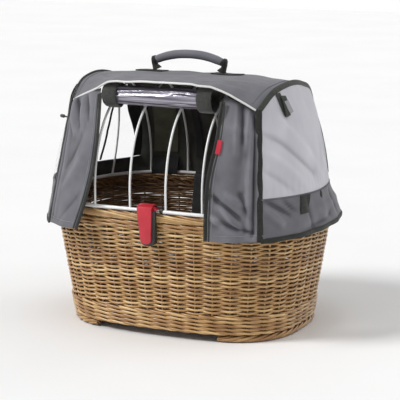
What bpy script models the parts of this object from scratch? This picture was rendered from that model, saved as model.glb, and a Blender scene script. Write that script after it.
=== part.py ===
"""Dog bicycle basket: a wicker tub under a domed wire cage with a cloth hood.

Metres, +Z up, long side along X, doorway on -Y. The origin is the middle of the bottom.
The cage tips back on its rear wire, the red lever swings on the front wire, the two
door flaps swing on the front corner seams and the carry handle lies down on the roof.
"""
import math

import bmesh
import bpy
import numpy as np
from mathutils import Matrix, Vector

for thing in list(bpy.data.objects):
    bpy.data.objects.remove(thing, do_unlink=True)

# Clearance between neighbours
GAP = 0.0003

# Wicker tub: outer half sizes at the base and at the top, heights and wall
BASE_HALF_X = 0.205
BASE_HALF_Y = 0.152
TOP_HALF_X = 0.236
TOP_HALF_Y = 0.184
TUB_BOTTOM = 0.013
TUB_TOP = 0.2172
WALL_THICK = 0.008
BASE_THICK = 0.010
TUB_POWER = 2.9

# Weave of the wall: upright stakes all round, rows of rods that pass in front of every second
# stake, and under the border rows of thicker rods that pass behind every third one
STAKE_COUNT = 42
ROD_PITCH = 0.0053
WEAVE_PROUD = 0.001
WEAVE_SUNK = 0.0050
THICK_ROW_COUNT = 2
THICK_ROD_PITCH = 0.0062

# Plaited border on the rim, thick weave round the bottom, and the feet at the two ends
BORDER_HEIGHT = 0.016
BORDER_PROUD = 0.003
WALE_HEIGHT = 0.034
WALE_PROUD = 0.003
FOOT_WIDTH = 0.014
FOOT_ANGLE = math.radians(66)

# Cage wires: plan of the bottom ring, wire radii, hoops and their spacing
RING_INSET_X = 0.005
RING_INSET_Y = 0.006
RING_ROUND = 0.146
RING_POWER = 2.2
RING_WIRE = 0.003
HOOP_WIRE = 0.002
HOOP_COUNT = 6
HOOP_INSET = 0.06725
END_HOOP_INSET = 0.018
END_HOOP_PAST_SEAM = 0.0035
RIDGE_WIRE_OVERHANG = 0.004

# Hood: ridge, cloth, how far the seams at the four corners lie inside the rim, how far the
# skirt stands outside it, and the hem that hangs over it. The roof is stretched over the hoops,
# so its edges and seams have their depth as shares of the ring's half depth
RIDGE_Z = 0.4288
CLOTH = 0.0018
CORNER_TOP_INSET_X = 0.0635
CORNER_TOP_DEPTH_SHARE = 0.685393
CORNER_TOP_Z = 0.388
CORNER_LOW_INSET_X = 0.0415
CORNER_LOW_DEPTH_SHARE = 0.926966
HEM_Z = 0.187
HEM_PROUD_X = 0.0105
BACK_CORNER_Z = 0.366
BACK_PROUD_Y = 0.0025
BACK_HEM_PROUD_Y = 0.0145
ARCH_BULGE = 0.0125
ARCH_RISE = 0.034
ROOF_FRONT_DEPTH_SHARE = 0.853933
ROOF_BACK_DEPTH_SHARE = 0.825843
ROOF_BACK_Z = 0.371
SEAM_Z = 0.250
SEAM_PROUD_X = 0.007
SIDE_BULGE = 0.0085
SIDE_BULGE_SHARES = (1.5, 0.5)
FRONT_BOW_POWER = 2.4
BACK_BOW_POWER = 3.0
BACK_TUCK = 0.013
BACK_TUCK_POWER = 6
BACK_BULGE = 0.0145
BACK_PANEL_LOW_Z = 0.2305
BACK_SKIRT_TOP_Z = 0.2095
SKIRT_SPLIT_SHARE = 0.80
SPLIT_OPEN_SHARE = 0.015
SPLIT_RISE_SHARE = 0.04
HEM_SHORT_SHARE = 0.05
SIDE_REACH_SHARE = 0.13
BINDING_HALF = 0.0026
BINDING_THICK = 0.0024
PIPING_WIRE = 0.0015

# Rolled clear window and the straps that hold it
ROLL_RADIUS = 0.0178
ROLL_SHORT = 0.00025
ROLL_STRAP_WIDTH = 0.027
ROLL_STRAP_THICK = 0.0015
ROLL_CRINKLE = 0.0006

# Carry handle
HANDLE_X = -0.010
HANDLE_HALF = 0.066
GRIP_RISE = 0.012
GRIP_RADIUS = 0.0062
HANDLE_WEB_WIDTH = 0.018
HANDLE_WEB_THICK = 0.0030
PATCH_START = 0.046
PATCH_END = 0.100
PATCH_HALF_WIDTH = 0.012
PATCH_THICK = 0.0020

# Latch on the front wire and its base on the tub
LATCH_X = 0.003
LATCH_WIDTH = 0.026
LATCH_THICK = 0.0042
LATCH_TOP = 0.0125
LATCH_DROP = 0.053
LATCH_TIP_LIFT = 0.008
LATCH_TAPER_SHARE = 0.65
LATCH_LEAN_SHARE = 0.5
LATCH_CLEAR = 0.0008
LATCH_BASE_TAPER_SHARE = 0.75
LATCH_BASE_WIDTH = 0.034
LATCH_BASE_DROP = 0.057
LATCH_BASE_THICK = 0.006

# Straps on the back wire, black straps, lined patches and small tabs
HINGE_STRAP_X = 0.066
HINGE_STRAP_WIDTH = 0.030
HINGE_STRAP_THICK = 0.0024
HINGE_STRAP_DROP = 0.075
BACK_STRAP_WIDTH = 0.014
LINING = 0.0012
TAB_THICK = 0.0016

# Rack plate under the base
RACK_PLATE_HALF_X = 0.100
RACK_PLATE_HALF_Y = 0.080
RACK_PLATE_THICK = 0.009

# How finely round shapes are divided
FINE_STEPS = 4200
HOOP_STEPS = 13

# Places that follow the rim
RING_HALF_X = TOP_HALF_X - RING_INSET_X
RING_HALF_Y = TOP_HALF_Y - RING_INSET_Y
RING_STRAIGHT_HALF = RING_HALF_X - RING_ROUND
RING_Z = TUB_TOP + GAP + RING_WIRE
CORNER_TOP_X = TOP_HALF_X - CORNER_TOP_INSET_X
CORNER_TOP_Y = RING_HALF_Y * CORNER_TOP_DEPTH_SHARE
CORNER_LOW_X = TOP_HALF_X - CORNER_LOW_INSET_X
CORNER_LOW_Y = RING_HALF_Y * CORNER_LOW_DEPTH_SHARE
ROOF_FRONT_Y = RING_HALF_Y * ROOF_FRONT_DEPTH_SHARE
ROOF_BACK_Y = RING_HALF_Y * ROOF_BACK_DEPTH_SHARE
SEAM_HALF_X = TOP_HALF_X + SEAM_PROUD_X
HEM_HALF_X = TOP_HALF_X + HEM_PROUD_X
BACK_HALF_Y = TOP_HALF_Y + BACK_PROUD_Y
BACK_HEM_HALF_Y = TOP_HALF_Y + BACK_HEM_PROUD_Y

# Places of the hoops, which follow the ring and the seams
HOOP_SPACING = 2 * (RING_HALF_X - HOOP_INSET) / (HOOP_COUNT - 1)
END_HOOP_FOOT_X = RING_HALF_X - END_HOOP_INSET
END_HOOP_TOP_X = CORNER_TOP_X + END_HOOP_PAST_SEAM
RIDGE_WIRE_HALF = END_HOOP_TOP_X + RIDGE_WIRE_OVERHANG

# The roll ends just short of the last hoops but one
ROLL_HALF = HOOP_SPACING * (HOOP_COUNT - 3) / 2 - ROLL_SHORT


def material(name, colour, roughness, metallic=0.0):
    """A Principled material with the colour, roughness and metal of one finish."""
    made = bpy.data.materials.new(name)
    made.use_nodes = True
    shader = made.node_tree.nodes["Principled BSDF"]
    shader.inputs["Base Color"].default_value = (*colour, 1.0)
    shader.inputs["Roughness"].default_value = roughness
    shader.inputs["Metallic"].default_value = metallic
    return made


WICKER = material("wicker", (0.52, 0.31, 0.13), 0.55)
WHITE_WIRE = material("white_wire", (0.86, 0.86, 0.85), 0.35)
GREY_CLOTH = material("grey_cloth", (0.17, 0.17, 0.19), 0.85)
LIGHT_CLOTH = material("light_cloth", (0.52, 0.51, 0.58), 0.70)
DARK_WEB = material("dark_web", (0.045, 0.048, 0.042), 0.80)
BLACK_CLOTH = material("black_cloth", (0.015, 0.015, 0.016), 0.90)
OLIVE_LINING = material("olive_lining", (0.06, 0.06, 0.04), 0.85)
WINDOW_FOIL = material("window_foil", (0.58, 0.56, 0.62), 0.25)
REFLECTIVE = material("reflective_piping", (0.75, 0.75, 0.75), 0.40)
RED_PLASTIC = material("red_plastic", (0.60, 0.03, 0.06), 0.40)
RED_CLOTH = material("red_cloth", (0.60, 0.02, 0.05), 0.80)
BLACK_PLASTIC = material("black_plastic", (0.02, 0.02, 0.02), 0.50)


def keep(mesh, name, finish, smooth):
    """Turn a closed bmesh into a named object with outward faces and smooth round sides."""
    bmesh.ops.recalc_face_normals(mesh, faces=mesh.faces)
    data = bpy.data.meshes.new(name)
    mesh.to_mesh(data)
    mesh.free()
    data.materials.append(finish)
    data.shade_smooth()
    data.set_sharp_from_angle(angle=math.radians(smooth))
    made = bpy.data.objects.new(name, data)
    bpy.context.collection.objects.link(made)
    return made


def stack(name, finish, loops, closed=False, smooth=35.0, creased=False):
    """Skin a row of point loops: closed makes a ring, open gets end caps.

    With creased, each face is folded along the diagonal that lies nearer to the Z axis.
    """
    mesh = bmesh.new()
    rows = [[mesh.verts.new(point) for point in loop] for loop in loops]
    count = len(rows[0])
    pairs = list(zip(rows, rows[1:]))
    if closed:
        pairs.append((rows[-1], rows[0]))
    for first, second in pairs:
        for i in range(count):
            j = (i + 1) % count
            a, b, c, d = first[i], first[j], second[j], second[i]
            if not creased:
                mesh.faces.new((a, b, c, d))
            elif (a.co + c.co).xy.length < (b.co + d.co).xy.length:
                mesh.faces.new((a, b, c))
                mesh.faces.new((a, c, d))
            else:
                mesh.faces.new((a, b, d))
                mesh.faces.new((b, c, d))
    if not closed:
        mesh.faces.new(rows[0])
        mesh.faces.new(rows[-1])
    return keep(mesh, name, finish, smooth)


def sheet(name, finish, surface, across, down, thick, lift=0.0):
    """A panel of even thickness on surface(u, w), raised by lift along its normal."""
    nudge_share = 1.0e-3
    loops = []
    for j in range(down + 1):
        outer = []
        inner = []
        for i in range(across + 1):
            u = i / across
            w = j / down
            along = surface(min(u + nudge_share, 1.0), w) - surface(max(u - nudge_share, 0.0), w)
            fall = surface(u, min(w + nudge_share, 1.0)) - surface(u, max(w - nudge_share, 0.0))
            normal = fall.cross(along).normalized()
            here = surface(u, w) + normal * lift
            outer.append(here + normal * thick / 2)
            inner.append(here - normal * thick / 2)
        loops.append(outer + inner[::-1])
    mesh = bmesh.new()
    rows = [[mesh.verts.new(point) for point in loop] for loop in loops]
    count = len(rows[0])
    for first, second in zip(rows, rows[1:]):
        for i in range(count):
            k = (i + 1) % count
            mesh.faces.new((first[i], first[k], second[k], second[i]))
    for row in (rows[0], rows[-1]):
        for i in range(across):
            mesh.faces.new((row[i], row[i + 1], row[count - 2 - i], row[count - 1 - i]))
    return keep(mesh, name, finish, 50.0)


def tube(name, finish, points, radius, closed=False):
    """A round wire along points, as a bevelled curve with filled ends."""
    curve = bpy.data.curves.new(name, "CURVE")
    curve.dimensions = "3D"
    curve.bevel_depth = radius
    curve.bevel_resolution = 2
    curve.use_fill_caps = True
    spline = curve.splines.new("POLY")
    spline.points.add(len(points) - 1)
    for slot, point in zip(spline.points, points):
        slot.co = (*point, 1.0)
    spline.use_cyclic_u = closed
    curve.materials.append(finish)
    made = bpy.data.objects.new(name, curve)
    bpy.context.collection.objects.link(made)
    return made


def strip(name, finish, points, normals, half_width, thick):
    """A flat tape along points, lying square to the normals."""
    loops = []
    last = len(points) - 1
    for i, (point, normal) in enumerate(zip(points, normals)):
        ahead = (points[min(i + 1, last)] - points[max(i - 1, 0)]).normalized()
        up = (normal - ahead * normal.dot(ahead)).normalized()
        side = ahead.cross(up)
        corners = ((1, 1), (1, -1), (-1, -1), (-1, 1))
        loops.append([point + side * a * half_width + up * b * thick / 2 for a, b in corners])
    return stack(name, finish, loops)


def prism(name, finish, outline, start, end):
    """A profile of (y, z) points pushed along X from start to end."""
    loops = [[Vector((x, y, z)) for y, z in outline] for x in (start, end)]
    return stack(name, finish, loops)


def hoop_band(name, finish, centre, inner, outer, start, end):
    """A short sleeve round a centre line along X, from start to end."""
    steps = 20
    loops = []
    for i in range(steps):
        angle = math.tau * i / steps
        ray = Vector((0.0, math.cos(angle), math.sin(angle)))
        loops.append([centre + ray * radius + Vector((x, 0.0, 0.0))
                      for radius, x in ((inner, start), (inner, end), (outer, end), (outer, start))])
    return stack(name, finish, loops, closed=True)


def plan(half_x, half_y, z, angle, power):
    """A point of a rounded rectangle at a turn angle, 0 on +X and a quarter turn on +Y."""
    c = math.cos(angle)
    s = math.sin(angle)
    return Vector((half_x * math.copysign(abs(c) ** (2 / power), c),
                   half_y * math.copysign(abs(s) ** (2 / power), s), z))


def band(name, finish, section, power, angles, closed=True):
    """Sweep a section of (half_x, half_y, z) round the plan, stopping at each angle."""
    loops = [[plan(a, b, z, angle, power) for a, b, z in section] for angle in angles]
    return stack(name, finish, loops, closed=closed)


def through(points, share):
    """A smooth place along a list of points, at a share of the way from 0 to 1."""
    place = share * (len(points) - 1)
    i = max(0, min(int(place), len(points) - 2))
    t = place - i
    before = points[max(i - 1, 0)]
    after = points[min(i + 2, len(points) - 1)]
    a = points[i]
    b = points[i + 1]
    slope_a = (b - before) / (2 if i else 1)
    slope_b = (after - a) / (2 if i < len(points) - 2 else 1)
    return (a * ((1 + 2 * t) * (1 - t) ** 2) + slope_a * (t * (1 - t) ** 2)
            + b * (t * t * (3 - 2 * t)) + slope_b * (t * t * (t - 1)))


def mix(a, b, share):
    """A place between a and b."""
    return a + (b - a) * share


def pivot(name, place, parent=None):
    """An empty on a joint's axis, which carries the pieces that turn there."""
    made = bpy.data.objects.new(name, None)
    made.location = place if parent is None else place - Vector(parent["place"])
    made.parent = parent
    made["place"] = tuple(place)
    bpy.context.collection.objects.link(made)
    return made


def carry(hinge, *pieces):
    """Hang pieces on a hinge, with their own origins on its axis."""
    for piece in pieces:
        piece.data.transform(Matrix.Translation(-Vector(hinge["place"])))
        piece.parent = hinge


# Tub of woven rods
def tub_half(z):
    """Outer half sizes of the tub at height z."""
    share = (z - TUB_BOTTOM) / (TUB_TOP - TUB_BOTTOM)
    return mix(BASE_HALF_X, TOP_HALF_X, share), mix(BASE_HALF_Y, TOP_HALF_Y, share)


def tub_section(low, high, inner, outer):
    """The four corners of a band of the wall, its faces offset from the tub's outside."""
    section = []
    for z, offset in ((low, outer), (high, outer), (high, inner), (low, inner)):
        a, b = tub_half(z)
        section.append((a + offset, b + offset, z))
    return section


def stake_angles():
    """Turn angles of the stakes, which stand equal lengths apart round the wall."""
    half_x, half_y = tub_half((TUB_BOTTOM + TUB_TOP) / 2)
    angles = np.linspace(0.0, math.tau, FINE_STEPS + 1)
    places = np.array([plan(half_x, half_y, 0.0, angle, TUB_POWER) for angle in angles])
    way = np.concatenate([[0.0], np.cumsum(np.linalg.norm(np.diff(places, axis=0), axis=1))])
    return [float(np.interp(way[-1] * i / STAKE_COUNT, way, angles)) for i in range(STAKE_COUNT)]


STAKE_ANGLES = stake_angles()
BORDER_LOW = TUB_TOP - BORDER_HEIGHT
WALE_TOP = TUB_BOTTOM + WALE_HEIGHT
thick_low = BORDER_LOW - THICK_ROW_COUNT * THICK_ROD_PITCH
row_count = int((thick_low - WALE_TOP) / ROD_PITCH)
row_step = (thick_low - WALE_TOP) / row_count

# Each row of rods stands out in front of a stake, or lies back where it passes behind it
wall_loops = []
for stake, angle in enumerate(STAKE_ANGLES):
    outline = [(TUB_BOTTOM, -WALL_THICK), (TUB_BOTTOM, 0.0), (WALE_TOP, 0.0)]
    for row in range(row_count):
        behind = (row + stake) % 2
        outline.append((WALE_TOP + (row + 0.5) * row_step, -WEAVE_SUNK if behind else WEAVE_PROUD))
    for row in range(THICK_ROW_COUNT):
        behind = (row + stake) % 3 == 0
        outline.append((thick_low + (row + 0.5) * THICK_ROD_PITCH, -WEAVE_SUNK if behind else WEAVE_PROUD))
    outline += [(BORDER_LOW - GAP, 0.0), (BORDER_LOW - GAP, -WALL_THICK)]
    loop = []
    for z, offset in outline:
        half_x, half_y = tub_half(z)
        loop.append(plan(half_x + offset, half_y + offset, z, angle, TUB_POWER))
    wall_loops.append(loop)
stack("wicker_wall", WICKER, wall_loops, closed=True, smooth=10.0, creased=True)
band("rim_border", WICKER,
     tub_section(BORDER_LOW, TUB_TOP, -WALL_THICK - BORDER_PROUD, BORDER_PROUD), TUB_POWER, STAKE_ANGLES)
band("bottom_wale", WICKER, tub_section(TUB_BOTTOM, WALE_TOP, GAP, WALE_PROUD), TUB_POWER, STAKE_ANGLES)

base_loops = []
for base_z in (TUB_BOTTOM, TUB_BOTTOM + BASE_THICK):
    half_x, half_y = tub_half(TUB_BOTTOM)
    inset = WALL_THICK + GAP
    base_loops.append([plan(half_x - inset, half_y - inset, base_z, angle, TUB_POWER)
                       for angle in STAKE_ANGLES])
stack("wicker_base", WICKER, base_loops)

foot_outer = (BASE_HALF_X + WALE_PROUD, BASE_HALF_Y + WALE_PROUD)
foot_inner = (BASE_HALF_X - FOOT_WIDTH, BASE_HALF_Y - FOOT_WIDTH)
foot_top = TUB_BOTTOM - GAP
foot_section = [(*foot_outer, 0.0), (*foot_outer, foot_top), (*foot_inner, foot_top), (*foot_inner, 0.0)]
for side, middle in (("right", 0.0), ("left", math.pi)):
    foot_angles = [middle + mix(-FOOT_ANGLE, FOOT_ANGLE, i / 24) for i in range(25)]
    band("foot_border_" + side, WICKER, foot_section, TUB_POWER, foot_angles, closed=False)

plate_low = foot_top - RACK_PLATE_THICK
prism("rack_plate", BLACK_PLASTIC,
      [(-RACK_PLATE_HALF_Y, plate_low), (RACK_PLATE_HALF_Y, plate_low),
       (RACK_PLATE_HALF_Y, foot_top), (-RACK_PLATE_HALF_Y, foot_top)],
      -RACK_PLATE_HALF_X, RACK_PLATE_HALF_X)

cage_hinge = pivot("cage_hinge", Vector((0.0, RING_HALF_Y, RING_Z)))

# Hood surfaces: every panel, seam and hoop takes its place from these
SEAM_CLEAR = BINDING_HALF + 3 * GAP
ARCH_SHARES = [Vector((-1.0, 0.0)), Vector((-0.667, 0.73)), Vector((-0.333, 0.97)),
               Vector((0.0, 1.0)), Vector((0.333, 0.80)), Vector((0.667, 0.42)),
               Vector((1.0, (BACK_CORNER_Z - CORNER_TOP_Z) / ARCH_RISE))]
ROOF_Y_SHARES = (-1.0, -0.68, -0.34, 0.0, 0.38, 0.72, 1.0)
ROOF_DROP_SHARES = (-0.03, -0.05, -0.03, 0.0, 0.09, 0.37, 1.0)
MID_ROOF = []
for y_share, drop_share in zip(ROOF_Y_SHARES, ROOF_DROP_SHARES):
    reach = ROOF_BACK_Y if y_share > 0 else ROOF_FRONT_Y
    MID_ROOF.append(Vector((y_share * reach, RIDGE_Z - drop_share * (RIDGE_Z - ROOF_BACK_Z))))


def arch(side, v):
    """The seam over one end of the hood, from the front corner to the back one."""
    share = through(ARCH_SHARES, v)
    x = CORNER_TOP_X + ARCH_BULGE * (1 - min(1.0, share.x * share.x))
    return Vector((side * x, share.x * CORNER_TOP_Y, CORNER_TOP_Z + share.y * ARCH_RISE))


def corner(side, front, z):
    """The seam down a corner of the hood, at height z. The back ones swell with the back panel."""
    top_z = CORNER_TOP_Z if front < 0 else BACK_CORNER_Z
    share = (top_z - z) / (top_z - HEM_Z)
    depth = mix(CORNER_TOP_Y, CORNER_LOW_Y, share)
    if front > 0:
        fall = (BACK_CORNER_Z - z) / (BACK_CORNER_Z - BACK_PANEL_LOW_Z)
        depth += BACK_BULGE * math.sin(math.pi * max(0.0, min(1.0, fall)))
    return Vector((side * mix(CORNER_TOP_X, CORNER_LOW_X, share), front * depth, z))


# The seam over the skirt is drawn in towards the back corner, by the most at this peak
tuck_place_share = BACK_TUCK_POWER / (BACK_TUCK_POWER + 1)
TUCK_PEAK_SHARE = tuck_place_share ** BACK_TUCK_POWER * (1 - tuck_place_share)


def end_line(side, v, z, half_x):
    """The level line round one end of the hood, from the front corner to the back one."""
    ahead = corner(side, -1, z)
    behind = corner(side, 1, z)
    bow = 1 - abs(2 * v - 1) ** (FRONT_BOW_POWER if v < 0.5 else BACK_BOW_POWER)
    x = mix(abs(mix(ahead.x, behind.x, v)), half_x, bow)
    tuck_share = v ** BACK_TUCK_POWER * (1 - v) / TUCK_PEAK_SHARE
    x -= BACK_TUCK * tuck_share * (z - HEM_Z) / (SEAM_Z - HEM_Z)
    return Vector((side * x, mix(ahead.y, behind.y, v), z))


def to_seam(side, v, w, top, low):
    """How far a cloth between two places of the back seam is drawn out to follow the seam."""
    seam = corner(side, 1, mix(top.z, low.z, w))
    return Vector((0.0, (seam.y - mix(top.y, low.y, w)) * v ** BACK_TUCK_POWER, 0.0))


def side_cloth(side, v, w):
    """The light panel at one end: w runs from the arch down to the skirt's seam."""
    point = mix(arch(side, v), end_line(side, v, SEAM_Z, SEAM_HALF_X), w)
    swell = SIDE_BULGE * math.sin(math.pi * w) * (1 - (2 * v - 1) ** 2) * mix(*SIDE_BULGE_SHARES, v)
    point.x += side * swell
    return point + to_seam(side, v, w, arch(side, 1.0), corner(side, 1, SEAM_Z))


def side_skirt(side, v, w):
    """The skirt under it, from the seam down to the hem."""
    point = mix(end_line(side, v, SEAM_Z, SEAM_HALF_X), end_line(side, v, HEM_Z, HEM_HALF_X), w)
    return point + to_seam(side, v, w, corner(side, 1, SEAM_Z), corner(side, 1, HEM_Z))


def roof_cloth(u, w):
    """The roof: u runs from end to end, w from the front edge over the ridge to the back."""
    across = 2 * u - 1
    end = arch(1, w)
    middle = through(MID_ROOF, w)
    drop = max(0.0, (abs(across) - 0.4) / 0.6) ** 1.3
    return Vector((across * (end.x - SEAM_CLEAR), mix(middle.x, end.y, drop), mix(middle.y, end.z, drop)))


def back_cloth(u, w):
    """The back panel, from the roof's back edge down to just above the hinge."""
    across = 2 * u - 1
    top = roof_cloth(u, 1.0)
    low_corner = corner(1, 1, BACK_PANEL_LOW_Z)
    x = across * (low_corner.x - SEAM_CLEAR)
    y = mix(low_corner.y, BACK_HALF_Y, 1 - abs(across) ** 3)
    low = Vector((x, y, BACK_PANEL_LOW_Z))
    return mix(top, low, w) + Vector((0.0, BACK_BULGE * math.sin(math.pi * w), 0.0))


def roof_under(x, w):
    """Height of the roof cloth's lower face over a place along X."""
    u = (x / (arch(1, w).x - SEAM_CLEAR) + 1) / 2
    return roof_cloth(u, w).z - CLOTH / 2


# Cage of white coated wire
def ring_y(x):
    """Half depth of the ring at a place along X: straight in the middle, round at the ends."""
    share = max(0.0, abs(x) - RING_STRAIGHT_HALF) / (RING_HALF_X - RING_STRAIGHT_HALF)
    return RING_HALF_Y * (1 - share ** RING_POWER) ** (1 / RING_POWER)


ring_points = []
for side, start in ((1, -math.pi / 2), (-1, math.pi / 2)):
    for i in range(23):
        angle = start + math.pi * i / 22
        bend = plan(RING_HALF_X - RING_STRAIGHT_HALF, RING_HALF_Y, RING_Z, angle, RING_POWER)
        ring_points.append(bend + Vector((side * RING_STRAIGHT_HALF, 0.0, 0.0)))
carry(cage_hinge, tube("ring_wire", WHITE_WIRE, ring_points, RING_WIRE, closed=True))

HOOP_Y_SHARES = (1.0, 1.0, 0.965, 0.895, 0.79, 0.64, 0.45, 0.23, 0.0)
HOOP_Z_SHARES = (0.0, 0.20, 0.38, 0.545, 0.69, 0.81, 0.91, 0.975, 1.0)
HALF_HOOP = [Vector((y, z)) for y, z in zip(HOOP_Y_SHARES, HOOP_Z_SHARES)]


def hoop_points(foot, top):
    """A hoop from its front foot over the top to its back foot."""
    points = []
    for i in range(-HOOP_STEPS, HOOP_STEPS + 1):
        share = through(HALF_HOOP, 1 - abs(i) / HOOP_STEPS)
        x = mix(foot.x, top.x, share.y)
        y = math.copysign(share.x * foot.y, i)
        points.append(Vector((x, y, mix(foot.z, top.z, share.y))))
    return points


FOOT_Z = RING_Z + RING_WIRE + GAP
hoop_places = [(i - (HOOP_COUNT - 1) / 2) * HOOP_SPACING for i in range(HOOP_COUNT)]
for number, x in enumerate(hoop_places, 1):
    foot = Vector((x, ring_y(x), FOOT_Z))
    top = Vector((x, 0.0, roof_under(x, 0.5) - GAP - HOOP_WIRE))
    carry(cage_hinge, tube("hoop_%d" % number, WHITE_WIRE, hoop_points(foot, top), HOOP_WIRE))

for side, word in ((1, "right"), (-1, "left")):
    foot = Vector((side * END_HOOP_FOOT_X, ring_y(END_HOOP_FOOT_X), FOOT_Z))
    top = Vector((side * END_HOOP_TOP_X, 0.0, roof_under(END_HOOP_TOP_X, 0.5) - GAP - HOOP_WIRE))
    carry(cage_hinge, tube("end_hoop_" + word, WHITE_WIRE, hoop_points(foot, top), HOOP_WIRE))

ridge_points = []
for i in range(15):
    x = mix(-RIDGE_WIRE_HALF, RIDGE_WIRE_HALF, i / 14)
    ridge_points.append(Vector((x, 0.0, roof_under(x, 0.5) - 2 * GAP - 3 * HOOP_WIRE)))
carry(cage_hinge, tube("ridge_wire", WHITE_WIRE, ridge_points, HOOP_WIRE))

# Cloth panels of the hood
carry(cage_hinge, sheet("roof_panel", GREY_CLOTH, roof_cloth, 22, 14, CLOTH))


def back_panel_cloth(u, w):
    """The back panel, started a hair below the roof's edge."""
    return back_cloth(u, mix(0.008, 1.0, w))


carry(cage_hinge, sheet("back_panel", GREY_CLOTH, back_panel_cloth, 16, 7, CLOTH))

edge_share = SEAM_CLEAR / (2 * CORNER_TOP_Y)
drop_share = SEAM_CLEAR / (CORNER_TOP_Z - SEAM_Z)
seam_share = GAP / (SEAM_Z - HEM_Z)
hem_share = 1 - SEAM_CLEAR / (SEAM_Z - HEM_Z)
hinge_share = (SEAM_Z - BACK_PANEL_LOW_Z + BINDING_HALF) / (SEAM_Z - HEM_Z)
for side, word in ((1, "right"), (-1, "left")):

    def panel(u, w, side=side):
        """The side panel between its bindings; u is turned round on the left."""
        v = u if side > 0 else 1 - u
        under = drop_share * (1 + 1.5 * (2 * v - 1) ** 4)
        return side_cloth(side, mix(edge_share, 1 - 1.6 * edge_share, v), mix(under, 1.0, w))

    def skirt(u, w, side=side):
        """The skirt, cut short behind the split so that it clears the rim as it tips."""
        v = u if side > 0 else 1 - u
        cut = max(0.0, min(1.0, (v - SKIRT_SPLIT_SHARE + SPLIT_RISE_SHARE) / SPLIT_RISE_SHARE))
        low = mix(hem_share, hinge_share, cut)
        return side_skirt(side, mix(edge_share, 1 - edge_share, v), mix(2 * seam_share, low, w))

    def hem(v, side=side):
        """The hem's binding, centred on the skirt's lower edge."""
        return side_skirt(side, mix(edge_share, SKIRT_SPLIT_SHARE - HEM_SHORT_SHARE, v), 1.0)

    carry(cage_hinge, sheet("side_panel_" + word, LIGHT_CLOTH, panel, 12, 7, CLOTH))
    carry(cage_hinge, sheet("side_skirt_" + word, GREY_CLOTH, skirt, 20, 3, CLOTH))

    arch_line = [arch(side, i / 20) for i in range(21)]
    arch_line += [corner(side, 1, mix(BACK_CORNER_Z, BACK_PANEL_LOW_Z, i / 14)) for i in range(1, 15)]
    outward = [Vector((side, 0.0, 0.6)) if i < 21 else Vector((side, 1.0, 0.0)) for i in range(35)]
    carry(cage_hinge, strip("arch_binding_" + word, DARK_WEB, arch_line, outward,
                            BINDING_HALF, BINDING_THICK))
    corner_line = [corner(side, -1, mix(CORNER_TOP_Z - 2 * BINDING_HALF, HEM_Z, i / 6)) for i in range(7)]
    carry(cage_hinge, strip("corner_binding_" + word, DARK_WEB, corner_line,
                            [Vector((side, -1.0, 0.0))] * 7, BINDING_HALF, BINDING_THICK))
    hem_line = [hem(i / 14) for i in range(15)]
    carry(cage_hinge, strip("hem_binding_" + word, DARK_WEB, hem_line,
                            [Vector((side, 0.0, 0.0))] * 15, BINDING_HALF, BINDING_THICK))


def rim_skirt(u, w):
    """The rear skirt, which stays on the tub: round one corner, the back and the other corner."""
    z = mix(BACK_SKIRT_TOP_Z, HEM_Z, w)
    side_reach = SIDE_REACH_SHARE
    fall = (SEAM_Z - z) / (SEAM_Z - HEM_Z)
    half_x = mix(SEAM_HALF_X, HEM_HALF_X, fall)
    start = SKIRT_SPLIT_SHARE + SPLIT_OPEN_SHARE
    if u < side_reach:
        return end_line(1, mix(start, 1.0, u / side_reach), z, half_x)
    if u > 1 - side_reach:
        return end_line(-1, mix(start, 1.0, (1 - u) / side_reach), z, half_x)
    across = 1 - 2 * (u - side_reach) / (1 - 2 * side_reach)
    turn = corner(1, 1, z)
    snug = tub_half(z)[1] + BORDER_PROUD + GAP + CLOTH / 2
    half_y = mix(snug, BACK_HEM_HALF_Y, w)
    return Vector((across * turn.x, mix(turn.y, half_y, 1 - abs(across) ** 3), z))


sheet("rear_skirt", GREY_CLOTH, rim_skirt, 30, 2, CLOTH)

# Piping on the roof's front edge
piping_line = []
for i in range(23):
    u = mix(0.006, 0.994, i / 22)
    edge = roof_cloth(u, 0.0)
    forward = (edge - roof_cloth(u, 0.01)).normalized()
    piping_line.append(edge + forward * (PIPING_WIRE + 2 * GAP))
carry(cage_hinge, tube("roof_piping", REFLECTIVE, piping_line, PIPING_WIRE))

# Lined patches, tapes and tabs inside the back, and straps and tabs outside the ends. Each has
# its place as shares of the panel that carries it, across and then down
PATCH_ACROSS_SHARES = (0.64, 0.83)
PATCH_DOWN_SHARES = (0.09, 0.80)
TAPE_LEAN_SHARES = (0.455, 0.405)
TAPE_DOWN_SHARES = (0.03, 0.97)
ANCHOR_ACROSS_SHARES = (0.22, 0.90)
ANCHOR_TUCK_SHARE = 0.75
SIDE_STRAP_ACROSS_SHARES = (0.20, 0.245)
SIDE_STRAP_DOWN_SHARES = (0.05, 0.26)
SKIRT_TAB_ACROSS_SHARES = (0.225, 0.285)
SKIRT_TAB_DOWN_SHARES = (0.06, 0.60)

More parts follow.
